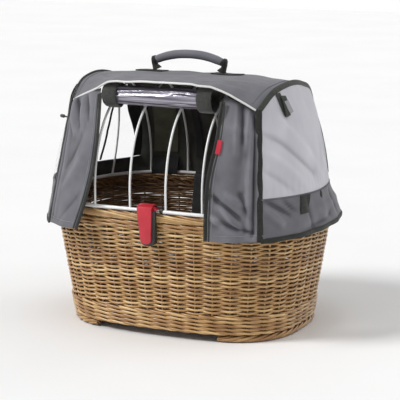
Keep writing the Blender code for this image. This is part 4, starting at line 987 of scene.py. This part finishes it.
for side, word in SIDES:
    path, facing = run_off(panel_place, side, 14, (0.205, 0.222), (0.03, 0.25), 0.0019)
    out = facing[-1]
    up = (path[-2] - path[-1]).normalized()
    turn_place = path[-1] + out * 0.0016
    for i in range(1, 8):
        angle = math.pi * i / 8
        path.append(turn_place - (out * math.cos(angle) + up * math.sin(angle)) * 0.0016)
        facing.append(out * math.cos(angle) + up * math.sin(angle))
    back_path, back_facing = run_off(panel_place, side, 12, (0.222, 0.236), (0.25, 0.075), 0.0051, 0.0022)
    bind("rollup_strap_" + word, path + back_path, facing + [-out for out in back_facing], 0.0008, 0.0066,
         webbing, "cage", "side_strap_" + word)
    path, facing = run_off(panel_place, side, 8, (0.236, 0.252), (0.125, 0.245), 0.0078)
    bind("rollup_tab_" + word, path, facing, 0.0007, 0.0055, pale_tab, "cage")

    def skirt_tab(u, w, side=side):
        """The webbing tab sewn on the skirt."""
        return off_cloth(skirt_place, side, mix(0.222, 0.298, u if side > 0 else 1 - u),
                         mix(0.03, 0.47, w), 0.0022)[0]

    cut_cloth("skirt_tab_web_" + word, skirt_tab, (8, 12), 0.0016, dark_webbing, dark_webbing, "cage",
              "skirt_tab_" + word)
    path, facing = run_off(skirt_place, side, 7, (0.425, 0.445), (0.04, 0.24), 0.0013)
    bulge = np.sin(np.linspace(0.25, math.pi - 0.1, 7))
    lay_rods("skirt_eyelet_" + word, [(path, facing, 0.0009 * bulge, 0.0048 * bulge)], 10, black_tape, "cage")

# Toggle and roof stitches. A small black toggle holds the left panel when it is rolled up, and a
# row of stitches runs beside the seam at each end of the roof.
begin = panel_place(-1, 0.05, 0.27)
path = [begin + Vector((-reach, 0.0, 0.12 * reach)) for reach in np.linspace(0.0005, 0.0145, 9)]
thick = np.interp(np.arange(9), [0, 3, 4, 7, 8], [0.0014, 0.0014, 0.0030, 0.0030, 0.0018])
lay_rods("left_roll_toggle", [(path, level, thick, thick)], 14, black_plastic, "cage")
up = Vector((0.0, 0.0, 1.0))
sew("roof_stitches", [([roof_place(u, mix(0.02, 0.98, i / 120)) + up * 0.0011 for i in range(121)], up)
                      for u in (0.028, 0.972)], "cage")

# Rear straps. Two black straps are looped over the rear wire and run down inside the tub, so the
# cage tips back on them.
for side, word in SIDES:
    path, facing = [], []
    for i in range(26):
        z = mix(RING_Z - 0.075, TUB_TOP + 0.0006, i / 25)
        rise = (z - TUB_BOTTOM) / (TUB_TOP - TUB_BOTTOM)
        half_x = mix(BASE_HALF_X, TOP_HALF_X, rise) - 0.011
        half_y = mix(BASE_HALF_Y, TOP_HALF_Y, rise) - 0.011
        reach = (1 - (0.081 / half_x) ** TUB_POWER) ** (1 / TUB_POWER)
        path.append((side * 0.066, half_y * reach - 0.0015 + 0.0004 * math.sin(i * 0.8), z))
        facing.append((0.0, 1.0, 0.0))
    for i in range(15):
        angle = math.pi * (1 - i / 14)
        path.append((side * 0.066, RING_HALF_Y + 0.0045 * math.cos(angle), RING_Z + 0.0045 * math.sin(angle)))
        facing.append((0.0, -math.cos(angle), -math.sin(angle)))
    bind("rear_strap_" + word, path, facing, 0.0012, 0.0150, black_tape, "basket",
         "hinge_strap_" + word)

# Rolled window. A clear film window is wound up over the door and held in two fuzzy straps.
ROLL_CENTRE = Vector((0.0, -0.13022, 0.40166))
ROLL_RADIUS, ROLL_HALF, FILM_HALF = 0.0178, 0.0995, 0.0870
film, nodes, links, shader = new_finish("window_film", (0.58, 0.56, 0.62), 0.10, Metallic=0.35,
                                        Specular_IOR_Level=0.8)
streak = texture(nodes, links, "Noise", stretched(nodes, links, spread(nodes), (7.0, 260.0, 1.0)), 1.0,
                 Detail=3.0, Roughness=0.55).outputs["Fac"]
# The colour streaks along the roll, from near black to pale, are painted highlights and painted shade for the
# glints and dark layers of the clear film.
links.new(shades(nodes, links, streak, [(0.30, (0.04, 0.036, 0.05)), (0.43, (0.16, 0.145, 0.19)),
                                        (0.55, (0.34, 0.32, 0.38)), (0.70, (0.60, 0.59, 0.64))]),
          shader.inputs["Base Color"])
raised(nodes, links, shader, streak, 0.6, 0.0012)


def wound(u, w):
    """The film: u along the roll, w from the inner end of the winding to the outer one."""
    x = mix(-FILM_HALF, FILM_HALF, u)
    angle = -2.2 - math.tau * 2.4 * w
    pinch = 1 - 0.10 * abs(2 * u - 1) ** 4
    radius = mix(0.0098, ROLL_RADIUS - 0.0010, w) * pinch
    radius += 0.0006 * noise.noise(Vector((x * 9, 2.2 * math.cos(angle), 2.2 * math.sin(angle) + 3 * w)))
    radius += 0.00060 * math.sin(11 * angle + 30 * x + 4 * noise.noise(Vector((x * 20, w * 4, 0.0))))
    return ROLL_CENTRE + Vector((x, radius * math.cos(angle), radius * math.sin(angle)))


cut_cloth("rolled_window_film", wound, (70, 170), 0.0006, film, film, "cage", "window_roll")

fuzzy = patterned("fuzzy_strap", (0.024, 0.025, 0.022), 0.95, (0.012, 0.013, 0.011), (0.052, 0.053, 0.047),
                  ("piece", "Noise", 620.0, 2.0), at=(0.35, 0.68), bump=(0.9, 0.0008), Sheen_Weight=0.5,
                  Sheen_Roughness=0.5)
angle = np.linspace(0, math.tau, 64, endpoint=False)
ray = np.stack([0 * angle, np.cos(angle), np.sin(angle)], 1)
for side, word in SIDES:
    rods = []
    for radius, shift, half_thick, half_wide in ((ROLL_RADIUS + 0.0011, 0.0, 0.0014, 0.0132),
                                                 (ROLL_RADIUS + 0.0021, -0.0015, 0.0010, 0.0112)):
        wave = radius + 0.0004 * np.sin(3 * angle + side) + 0.0003 * np.sin(7 * angle)
        path = np.array(tuple(ROLL_CENTRE)) + ray * wave[:, None]
        path[:, 0] += side * (ROLL_HALF - 0.0132 + shift) + 0.0006 * np.sin(2 * angle)
        rods.append((path, ray, half_thick, half_wide, True, 0.5))
    lay_rods("roll_sleeve_" + word, rods, 14, fuzzy, "cage", "roll_strap_" + word, square=0.6)

# Carry handle. Webbing patches sewn on the roof hold two folded webbing ends, and a padded nylon
# tube between them is the grip. It lies down to the front or the back.
HANDLE_X, HANDLE_HALF, HANDLE_Z = -0.010, 0.066, 0.4413
GRIP_RADIUS, GRIP_RISE = 0.0063, 0.0120
rise = np.array([-0.0084, -0.0062, -0.0025, 0.0010, 0.0042, 0.0070, 0.0092, 0.0104])
lean = np.array([0.0045, 0.0036, 0.0012, 0.0000, 0.0004, 0.0012, 0.0022, 0.0036])
thick = np.array([0.0078, 0.0062, 0.0044, 0.0042, 0.0054, 0.0068, 0.0074, 0.0056])
wide = np.array([0.0088, 0.0080, 0.0066, 0.0064, 0.0070, 0.0078, 0.0078, 0.0060])
for side, word in SIDES:
    near, far = (0.046, 0.100) if side > 0 else (-0.100, -0.046)

    def sole(u, w, near=near, far=far):
        """The patch on the roof under one end of the handle, cut to a point at its outer end."""
        outer = u if far > 0 else 1 - u
        x = HANDLE_X + mix(near, far, u)
        share = 0.5 + mix(-1, 1, w) * 0.012 * (1 - 0.35 * max(0.0, outer - 0.75) / 0.25) / 0.304
        u_roof = (x / (arch(1, share).x - SEAM_CLEAR) + 1) / 2
        return roof_place(u_roof, share) + Vector((0.0, 0.0, 0.0020 + 0.0012 * max(0.0, outer - 0.6)))

    cut_cloth("handle_patch_web_" + word, sole, (14, 8), 0.0018, dark_webbing, dark_webbing, "cage",
              "handle_patch_" + word)
    path = np.stack([HANDLE_X + side * (HANDLE_HALF - lean), 0 * rise, HANDLE_Z + rise], 1)
    lay_rods("handle_web_" + word, [(path, (1.0, 0.0, 0.0), thick, wide)], 16, dark_webbing, "carry_handle",
             "handle_end_" + word, square=0.7)

path, thick = [], []
for i in range(61):
    share = mix(-1, 1, i / 60)
    z = HANDLE_Z + GRIP_RADIUS + 0.0010 + GRIP_RISE * (1 - abs(share) ** 2.2)
    path.append((HANDLE_X + share * 0.0628, 0.0, z))
    thick.append(1.18 * GRIP_RADIUS * (1 - 0.14 * share ** 6 + 0.03 * noise.noise(Vector((i * 0.21, 0.0, 0.0)))))
path, thick = np.array(path), np.array(thick)
grip = lay_rods("handle_padded_grip", [(path, level, thick, thick)], 28, grip_nylon_painted_highlight, "carry_handle",
                "handle_grip")
path = path + np.array([0.0, -0.62, -0.80]) * thick[:, None]
lay_rods("handle_grip_seam", [(path[3:-3], (0.0, -0.6, -0.8), 0.0005, 0.0012)], 8, thread, "carry_handle")

# Door flaps. Each hangs from a front corner seam, with half a zip down its free edge, a sewn hem
# and a stitched pleat beside the seam. A small red tab is caught in the right zip.
FLAP_TOP_Z, FLAP_LOW_Z = 0.379, 0.183
FLAP_WIDE, FLAP_EDGE = 0.097, 0.0030
FOLDS_WIDE, FOLDS_TALL = 0.092, 0.20
flap_out = {side: Vector((side * 0.35, -0.94, 0.0)) for side, _ in SIDES}
ZIP_LINES = {
    1: [Vector(p) for p in ((0.1180, -0.1430, 0.402), (0.1225, -0.1720, 0.345), (0.1155, -0.1900, 0.285),
                            (0.1140, -0.1965, 0.230), (0.1135, -0.1975, FLAP_LOW_Z))],
    -1: [Vector(p) for p in ((-0.1040, -0.1445, 0.4045), (-0.0925, -0.1765, 0.345), (-0.0945, -0.1915, 0.285),
                             (-0.1075, -0.1980, 0.230), (-0.1245, -0.1980, FLAP_LOW_Z))],
}
FLAP_CREASES = {
    1: ((0.28, 0.00, 0.30, 0.26, 0.0080, 0.0050), (0.44, 0.00, 0.42, 0.22, 0.0060, -0.0048),
        (0.60, 0.00, 0.54, 0.30, 0.0085, 0.0050), (0.30, 0.30, 0.24, 0.62, 0.0100, 0.0030),
        (0.12, 0.04, 0.13, 0.94, 0.0032, -0.0075), (0.20, 0.05, 0.20, 0.93, 0.0035, 0.0030),
        (0.90, 0.63, 0.40, 0.80, 0.0055, -0.0085), (0.74, 0.69, 0.34, 0.90, 0.0050, 0.0070),
        (0.72, 0.84, 0.14, 0.925, 0.0055, -0.0070), (0.96, 0.78, 0.66, 0.86, 0.0050, 0.0050),
        (0.62, 0.62, 0.30, 0.70, 0.0060, 0.0045), (0.36, 0.62, 0.22, 0.80, 0.0050, -0.0045)),
    -1: ((0.18, 0.00, 0.40, 0.24, 0.0060, 0.0085), (0.30, 0.00, 0.52, 0.18, 0.0045, -0.0075),
         (0.48, 0.00, 0.62, 0.22, 0.0050, 0.0070), (0.64, 0.00, 0.74, 0.16, 0.0045, -0.0050),
         (0.10, 0.10, 0.14, 0.95, 0.0040, -0.0038), (0.20, 0.10, 0.20, 0.95, 0.0040, 0.0028),
         (0.35, 0.66, 0.70, 0.40, 0.0110, 0.0044), (0.30, 0.50, 0.62, 0.28, 0.0090, -0.0034),
         (0.45, 0.95, 0.80, 0.70, 0.0100, -0.0034)),
}


def flap_place(side, u, w):
    """A door flap: u from the corner seam to the zip, w from the top to the hem."""
    seam_point = corner(side, -1, mix(FLAP_TOP_Z, FLAP_LOW_Z, w))
    point = mix(seam_point, through(ZIP_LINES[side], w), u)
    held = 4 * u * (1 - u)
    folds = math.sin(math.tau * (1.6 * u + 0.35 * w)) * (0.4 + 0.6 * (1 - w))
    dents = math.sin(math.tau * (0.8 * u - 1.3 * w)) * w * w
    push = 0.006 * held + 0.0035 * held * (0.6 * folds + 0.6 * dents)
    push -= (0.012 if side > 0 else 0.002) * max(0.0, 1 - w / 0.15)
    creases = creased(u, w, FOLDS_WIDE, FOLDS_TALL, FLAP_CREASES[side])
    push += min(1.0, 2.0 * held) ** 1.5 * (creases + 0.0007 * uneven(point, 0.02, 8))
    return point + flap_out[side] * push


teeth_black = patterned("zip_teeth", (0.012, 0.012, 0.012), 0.45, (0.008, 0.008, 0.008), (0.022, 0.022, 0.023),
                        ("piece", "Noise", 800.0))
pale_thread = patterned("grey_thread", (0.34, 0.34, 0.36), 0.7, (0.25, 0.25, 0.27), (0.40, 0.40, 0.42),
                        ("grain", "Wave", 900.0), at=(0.2, 0.8))
ZIP_STEPS, TOOTH_PITCH = 90, 0.0019

for side, word in SIDES:
    body = word + "_flap"
    out = flap_out[side]

    def flap(u, w, side=side):
        """The flap's cloth, from under the corner tape to the zip tape."""
        return flap_place(side, mix(0.012, 1 - FLAP_EDGE / FLAP_WIDE, u), mix(-0.035, 1.0, w))

    cut_cloth(word + "_flap_cloth", flap, (72, 96), CLOTH, nylon, lining, body, body)

    line = [through(ZIP_LINES[side], i / ZIP_STEPS) for i in range(ZIP_STEPS + 1)]
    inward = [(flap_place(side, 0.9, i / ZIP_STEPS) - p).normalized() for i, p in enumerate(line)]
    bind(word + "_zip_tape", [p + q * 0.0005 for p, q in zip(line, inward)], out, 0.0010, 0.0044, webbing, body,
         body + "_zip")
    rods = [([p + out * lift + q * shift for p, q in zip(line, inward)], out, half_thick, half_wide)
            for lift, shift, half_thick, half_wide in ((0.0009, -0.0030, 0.0006, 0.0010),
                                                       (0.0012, 0.0050, 0.0008, 0.0013))]
    run = run_along(table(line))
    for k in range(int(run[-1] / TOOTH_PITCH)):
        at = float(np.interp(k * TOOTH_PITCH + 0.001, run, np.arange(len(line))))
        i = min(int(at), ZIP_STEPS - 1)
        p, q = mix(line[i], line[i + 1], at - i) + out * 0.0016, inward[i]
        rods.append(([p - q * 0.0026, p - q * 0.0008 + out * 0.0003, p + q * 0.0006], out, 0.0006, 0.0005))
    lay_rods(word + "_zip_teeth", rods, 6, teeth_black, body)

    edge, hem, pleat = ([flap_place(side, mix(*u_ends, i / count), mix(*w_ends, i / count)) + out * 0.0012
                         for i in range(count + 1)]
                        for u_ends, w_ends, count in (((0.895, 0.895), (0.02, 0.985), 120),
                                                      ((0.04, 0.90), (0.945, 0.945), 60),
                                                      ((0.155, 0.155), (0.12, 0.94), 120)))
    sew(word + "_flap_stitches", [(edge, out), (hem, out)], body, pitch=0.0036, length=0.0022, finish=pale_thread)
    sew(word + "_pleat_stitches", [(pleat, out)], body)
    rows = [([corner(side, -1, z) + Vector((side * (0.0012 + s), -0.0012 + s, 0.0))
              for s in (0.0018, 0.0030, 0.0044)], (side, -1.0, 0.0)) for z in (SEAM_Z - 0.0012, HEM_Z + 0.0060)]
    sew("corner_stitches_" + word, rows, "cage", pitch=0.0024, length=0.0022, finish=pale_thread)

red_cloth = patterned("red_tab_cloth", (0.56, 0.018, 0.045), 0.75, (0.48, 0.014, 0.036), (0.60, 0.022, 0.052),
                      ("grain", "Wave", 400.0, 0.3), at=(0.2, 0.8), bump=(0.2, 0.0002), Sheen_Weight=0.2)


def red_tab(u, w):
    """The small tab beside the zip, left bare: a ribbon folded back under itself at its free end."""
    out = 1 - abs(2 * u - 1)
    lift = 0.0030 if u < 0.47 else 0.0022 if u < 0.53 else 0.0012
    lift += 0.0008 * math.sin(math.pi * w)
    return flap_place(1, mix(0.992, 0.880, out), mix(0.248, 0.338, w)) + flap_out[1] * lift


cut_cloth("red_side_tab", red_tab, (20, 14), 0.0008, red_cloth, red_cloth, "right_flap", "flap_tab")

# Latch. A black moulded base is screwed to the wicker below the rim, and a red lever that clips
# round the front wire snaps down over it. Both get narrower towards their lower ends.
LATCH_X = 0.003
red_plastic = patterned("red_moulded", (0.52, 0.018, 0.036), 0.40, (0.47, 0.014, 0.030), (0.56, 0.022, 0.042),
                        ("piece", "Noise", 60.0, 3.0), bump=(0.15, 0.0001),
                        own=("piece", "Noise", 1500.0, 1.0), Coat_Weight=0.12)


def chosen(test):
    """Select the vertices that pass a test, in edit mode."""
    bpy.ops.mesh.select_all(action="DESELECT")
    work = bmesh.from_edit_mesh(bpy.context.object.data)
    for vertex in work.verts:
        vertex.select = test(vertex.co)
    work.select_flush(True)
    work.select_flush(False)
    bmesh.update_edit_mesh(bpy.context.object.data)


def soften(piece, width, finish):
    """Round the edges of a plastic piece and give it its material."""
    soft = piece.modifiers.new("edges", "BEVEL")
    soft.width = width
    soft.segments = 3
    soft.limit_method = "ANGLE"
    soft.angle_limit = math.radians(40)
    bpy.ops.object.modifier_apply(modifier="edges")
    bpy.ops.object.shade_smooth_by_angle(angle=math.radians(35))
    piece.data.materials.append(finish)
    piece.select_set(False)


def moulded(name, low, high, shape, finish, edge, body, node):
    """A rounded plastic piece from a block between two corners, shaped in edit mode."""
    bpy.ops.object.select_all(action="DESELECT")
    bpy.ops.mesh.primitive_cube_add(size=1.0, location=(0.0, 0.0, 0.0))
    piece = bpy.context.object
    piece.name = piece.data.name = name
    bpy.ops.object.mode_set(mode="EDIT")
    bpy.ops.mesh.select_all(action="SELECT")
    bpy.ops.transform.resize(value=tuple(high - low), center_override=(0.0, 0.0, 0.0))
    bpy.ops.transform.translate(value=tuple((high + low) / 2))
    shape()
    bpy.ops.mesh.select_all(action="SELECT")
    bpy.ops.mesh.normals_make_consistent(inside=False)
    bpy.ops.object.mode_set(mode="OBJECT")
    soften(piece, edge, finish)
    dress(piece, body, node)


front_y = -RING_HALF_Y
LOWER_END_Z = RING_Z - 0.05


def lower_end(width, aside, back, round_off):
    """Narrow the lower end of a latch piece, shift it, carry its rear edge back to the wall and
    round its two corners."""
    chosen(lambda co: co.z < LOWER_END_Z)
    bpy.ops.transform.resize(value=(width, 1.0, 1.0), center_override=(LATCH_X, 0.0, 0.0))
    bpy.ops.transform.translate(value=(aside, 0.0040, 0.0))
    if back:
        chosen(lambda co: co.z < LOWER_END_Z and co.y > front_y - 0.0097)
        bpy.ops.transform.translate(value=(0.0, back, 0.0))
    work = bmesh.from_edit_mesh(bpy.context.object.data)
    for edge in work.edges:
        across = edge.verts[0].co - edge.verts[1].co
        low = max(v.co.z for v in edge.verts) < LOWER_END_Z
        edge.select = low and abs(across.x) < 0.001 and abs(across.y) > 0.001
    bmesh.update_edit_mesh(bpy.context.object.data)
    bpy.ops.mesh.bevel(offset=round_off, offset_type="OFFSET", segments=6, affect="EDGES")


def shape_lever():
    """Draw the lever's hook up over the wire, and narrow and round its lower end."""
    chosen(lambda co: co.z > RING_Z)
    for move in ((0.0, 0.0016, 0.0042), (0.0, 0.0050, 0.0030), (0.0, 0.0068, 0.0004), (0.0, 0.0050, -0.0012)):
        bpy.ops.mesh.extrude_region_move(TRANSFORM_OT_translate={"value": move})
    lower_end(0.66, 0.0008, 0.0, 0.0072)


def shape_base():
    """Narrow the base downwards and carry its lower end back to the wall."""
    lower_end(0.74, 0.0012, 0.0072, 0.0090)


moulded("latch_lever_moulded", Vector((LATCH_X - 0.0132, front_y - 0.0203, RING_Z - 0.0530)),
        Vector((LATCH_X + 0.0132, front_y - 0.0161, RING_Z + 0.0050)), shape_lever, red_plastic, 0.0012,
        "latch_lever", "latch_lever")
moulded("latch_base_moulded", Vector((LATCH_X - 0.0165, front_y - 0.0153, RING_Z - 0.0570)),
        Vector((LATCH_X + 0.0175, front_y - 0.0097, RING_Z + 0.0030)), shape_base, black_plastic, 0.0014,
        "basket", "latch_base")

for name, body, sides, radius, depth, turned, at, taller, finish, slot in (
        ("latch_thumb_wedge", "latch_lever", 3, 0.0066, 0.0080, (math.pi / 2, math.pi / 2, 0.0),
         (LATCH_X + 0.0140, front_y - 0.0090, RING_Z + 0.0052), 0.95, red_plastic, "red_plastic"),
        ("latch_wire_clip", "cage", 32, 0.0042, 0.0060, (0.0, math.pi / 2, 0.0),
         (LATCH_X + 0.0225, front_y, RING_Z + 0.0012), 1.0, black_plastic, "black_plastic")):
    bpy.ops.object.select_all(action="DESELECT")
    bpy.ops.mesh.primitive_cylinder_add(vertices=sides, radius=radius, depth=depth, rotation=turned, location=at)
    piece = bpy.context.object
    piece.name = piece.data.name = name
    bpy.ops.object.transform_apply(location=True, rotation=True, scale=True)
    bpy.ops.object.mode_set(mode="EDIT")
    bpy.ops.mesh.select_all(action="SELECT")
    bpy.ops.transform.resize(value=(1.0, 1.0, taller), center_override=at)
    bpy.ops.object.mode_set(mode="OBJECT")
    soften(piece, 0.0008, finish)
    dress(piece, body)

# Camera, pale floor and soft studio light.
AZIMUTH, ELEVATION = math.radians(25.28), math.radians(10.92)
FOCUS, DISTANCE = 1601.4, 2.774
AIM, AIM_LEFT, AIM_UP = Vector((0.0, 0.0, 0.2554)), -5.43, 27.36
right_way = Vector((math.cos(AZIMUTH), math.sin(AZIMUTH), 0.0))
forward = Vector((-math.sin(AZIMUTH) * math.cos(ELEVATION), math.cos(AZIMUTH) * math.cos(ELEVATION),
                  -math.sin(ELEVATION)))
up_way = right_way.cross(forward)
eye = AIM - forward * DISTANCE - (right_way * AIM_LEFT + up_way * AIM_UP) * (DISTANCE / FOCUS)
lens = bpy.data.cameras.new("view")
lens.sensor_width = 36.0
lens.lens = FOCUS / 400 * 36.0
lens.clip_end = 20.0
camera = bpy.data.objects.new("view", lens)
turn = Matrix((right_way, up_way, -forward)).transposed().to_4x4()
camera.matrix_world = Matrix.Translation(eye) @ turn
bpy.context.collection.objects.link(camera)
scene = bpy.context.scene
scene.camera = camera
scene.view_settings.view_transform = "Standard"

bpy.ops.mesh.primitive_plane_add(size=14.0, location=(0.0, 0.0, 0.0))
floor = bpy.context.object
floor.name = "studio_floor"
floor.data.materials.append(patterned("floor_paint", (0.95, 0.95, 0.95), 0.9, (0.93, 0.93, 0.93),
                                      (0.96, 0.96, 0.96), ("piece", "Noise", 3.0)))

sky = bpy.data.worlds.new("studio")
scene.world = sky
sky.use_nodes = True
nodes, links = sky.node_tree.nodes, sky.node_tree.links
nodes.clear()
ray = nodes.new("ShaderNodeLightPath")
seen = ray.outputs["Is Camera Ray"]
for kind in ("Is Transmission Ray", "Is Glossy Ray"):
    either = nodes.new("ShaderNodeMath")
    either.operation = "MAXIMUM"
    links.new(seen, either.inputs[0])
    links.new(ray.outputs[kind], either.inputs[1])
    seen = either.outputs[0]
choose = nodes.new("ShaderNodeMixShader")
links.new(seen, choose.inputs[0])
for socket, strength in ((1, 0.36), (2, 1.0)):
    glow = nodes.new("ShaderNodeBackground")
    glow.inputs["Color"].default_value = (1.0, 1.0, 1.0, 1.0)
    glow.inputs["Strength"].default_value = strength
    links.new(glow.outputs[0], choose.inputs[socket])
out = nodes.new("ShaderNodeOutputWorld")
links.new(choose.outputs[0], out.inputs["Surface"])

for name, place, spread_angle, power in (("key_light", (-2.2, -2.0, 2.6), 18.0, 2.05),
                                         ("top_light", (1.0, -0.3, 2.8), 60.0, 0.55),
                                         ("right_light", (2.4, 2.0, 1.6), 40.0, 0.35)):
    lamp = bpy.data.lights.new(name, "SUN")
    lamp.energy = power
    lamp.angle = math.radians(spread_angle)
    light = bpy.data.objects.new(name, lamp)
    light.location = place
    light.rotation_euler = (-Vector(place)).to_track_quat("-Z", "Y").to_euler()
    bpy.context.collection.objects.link(light)
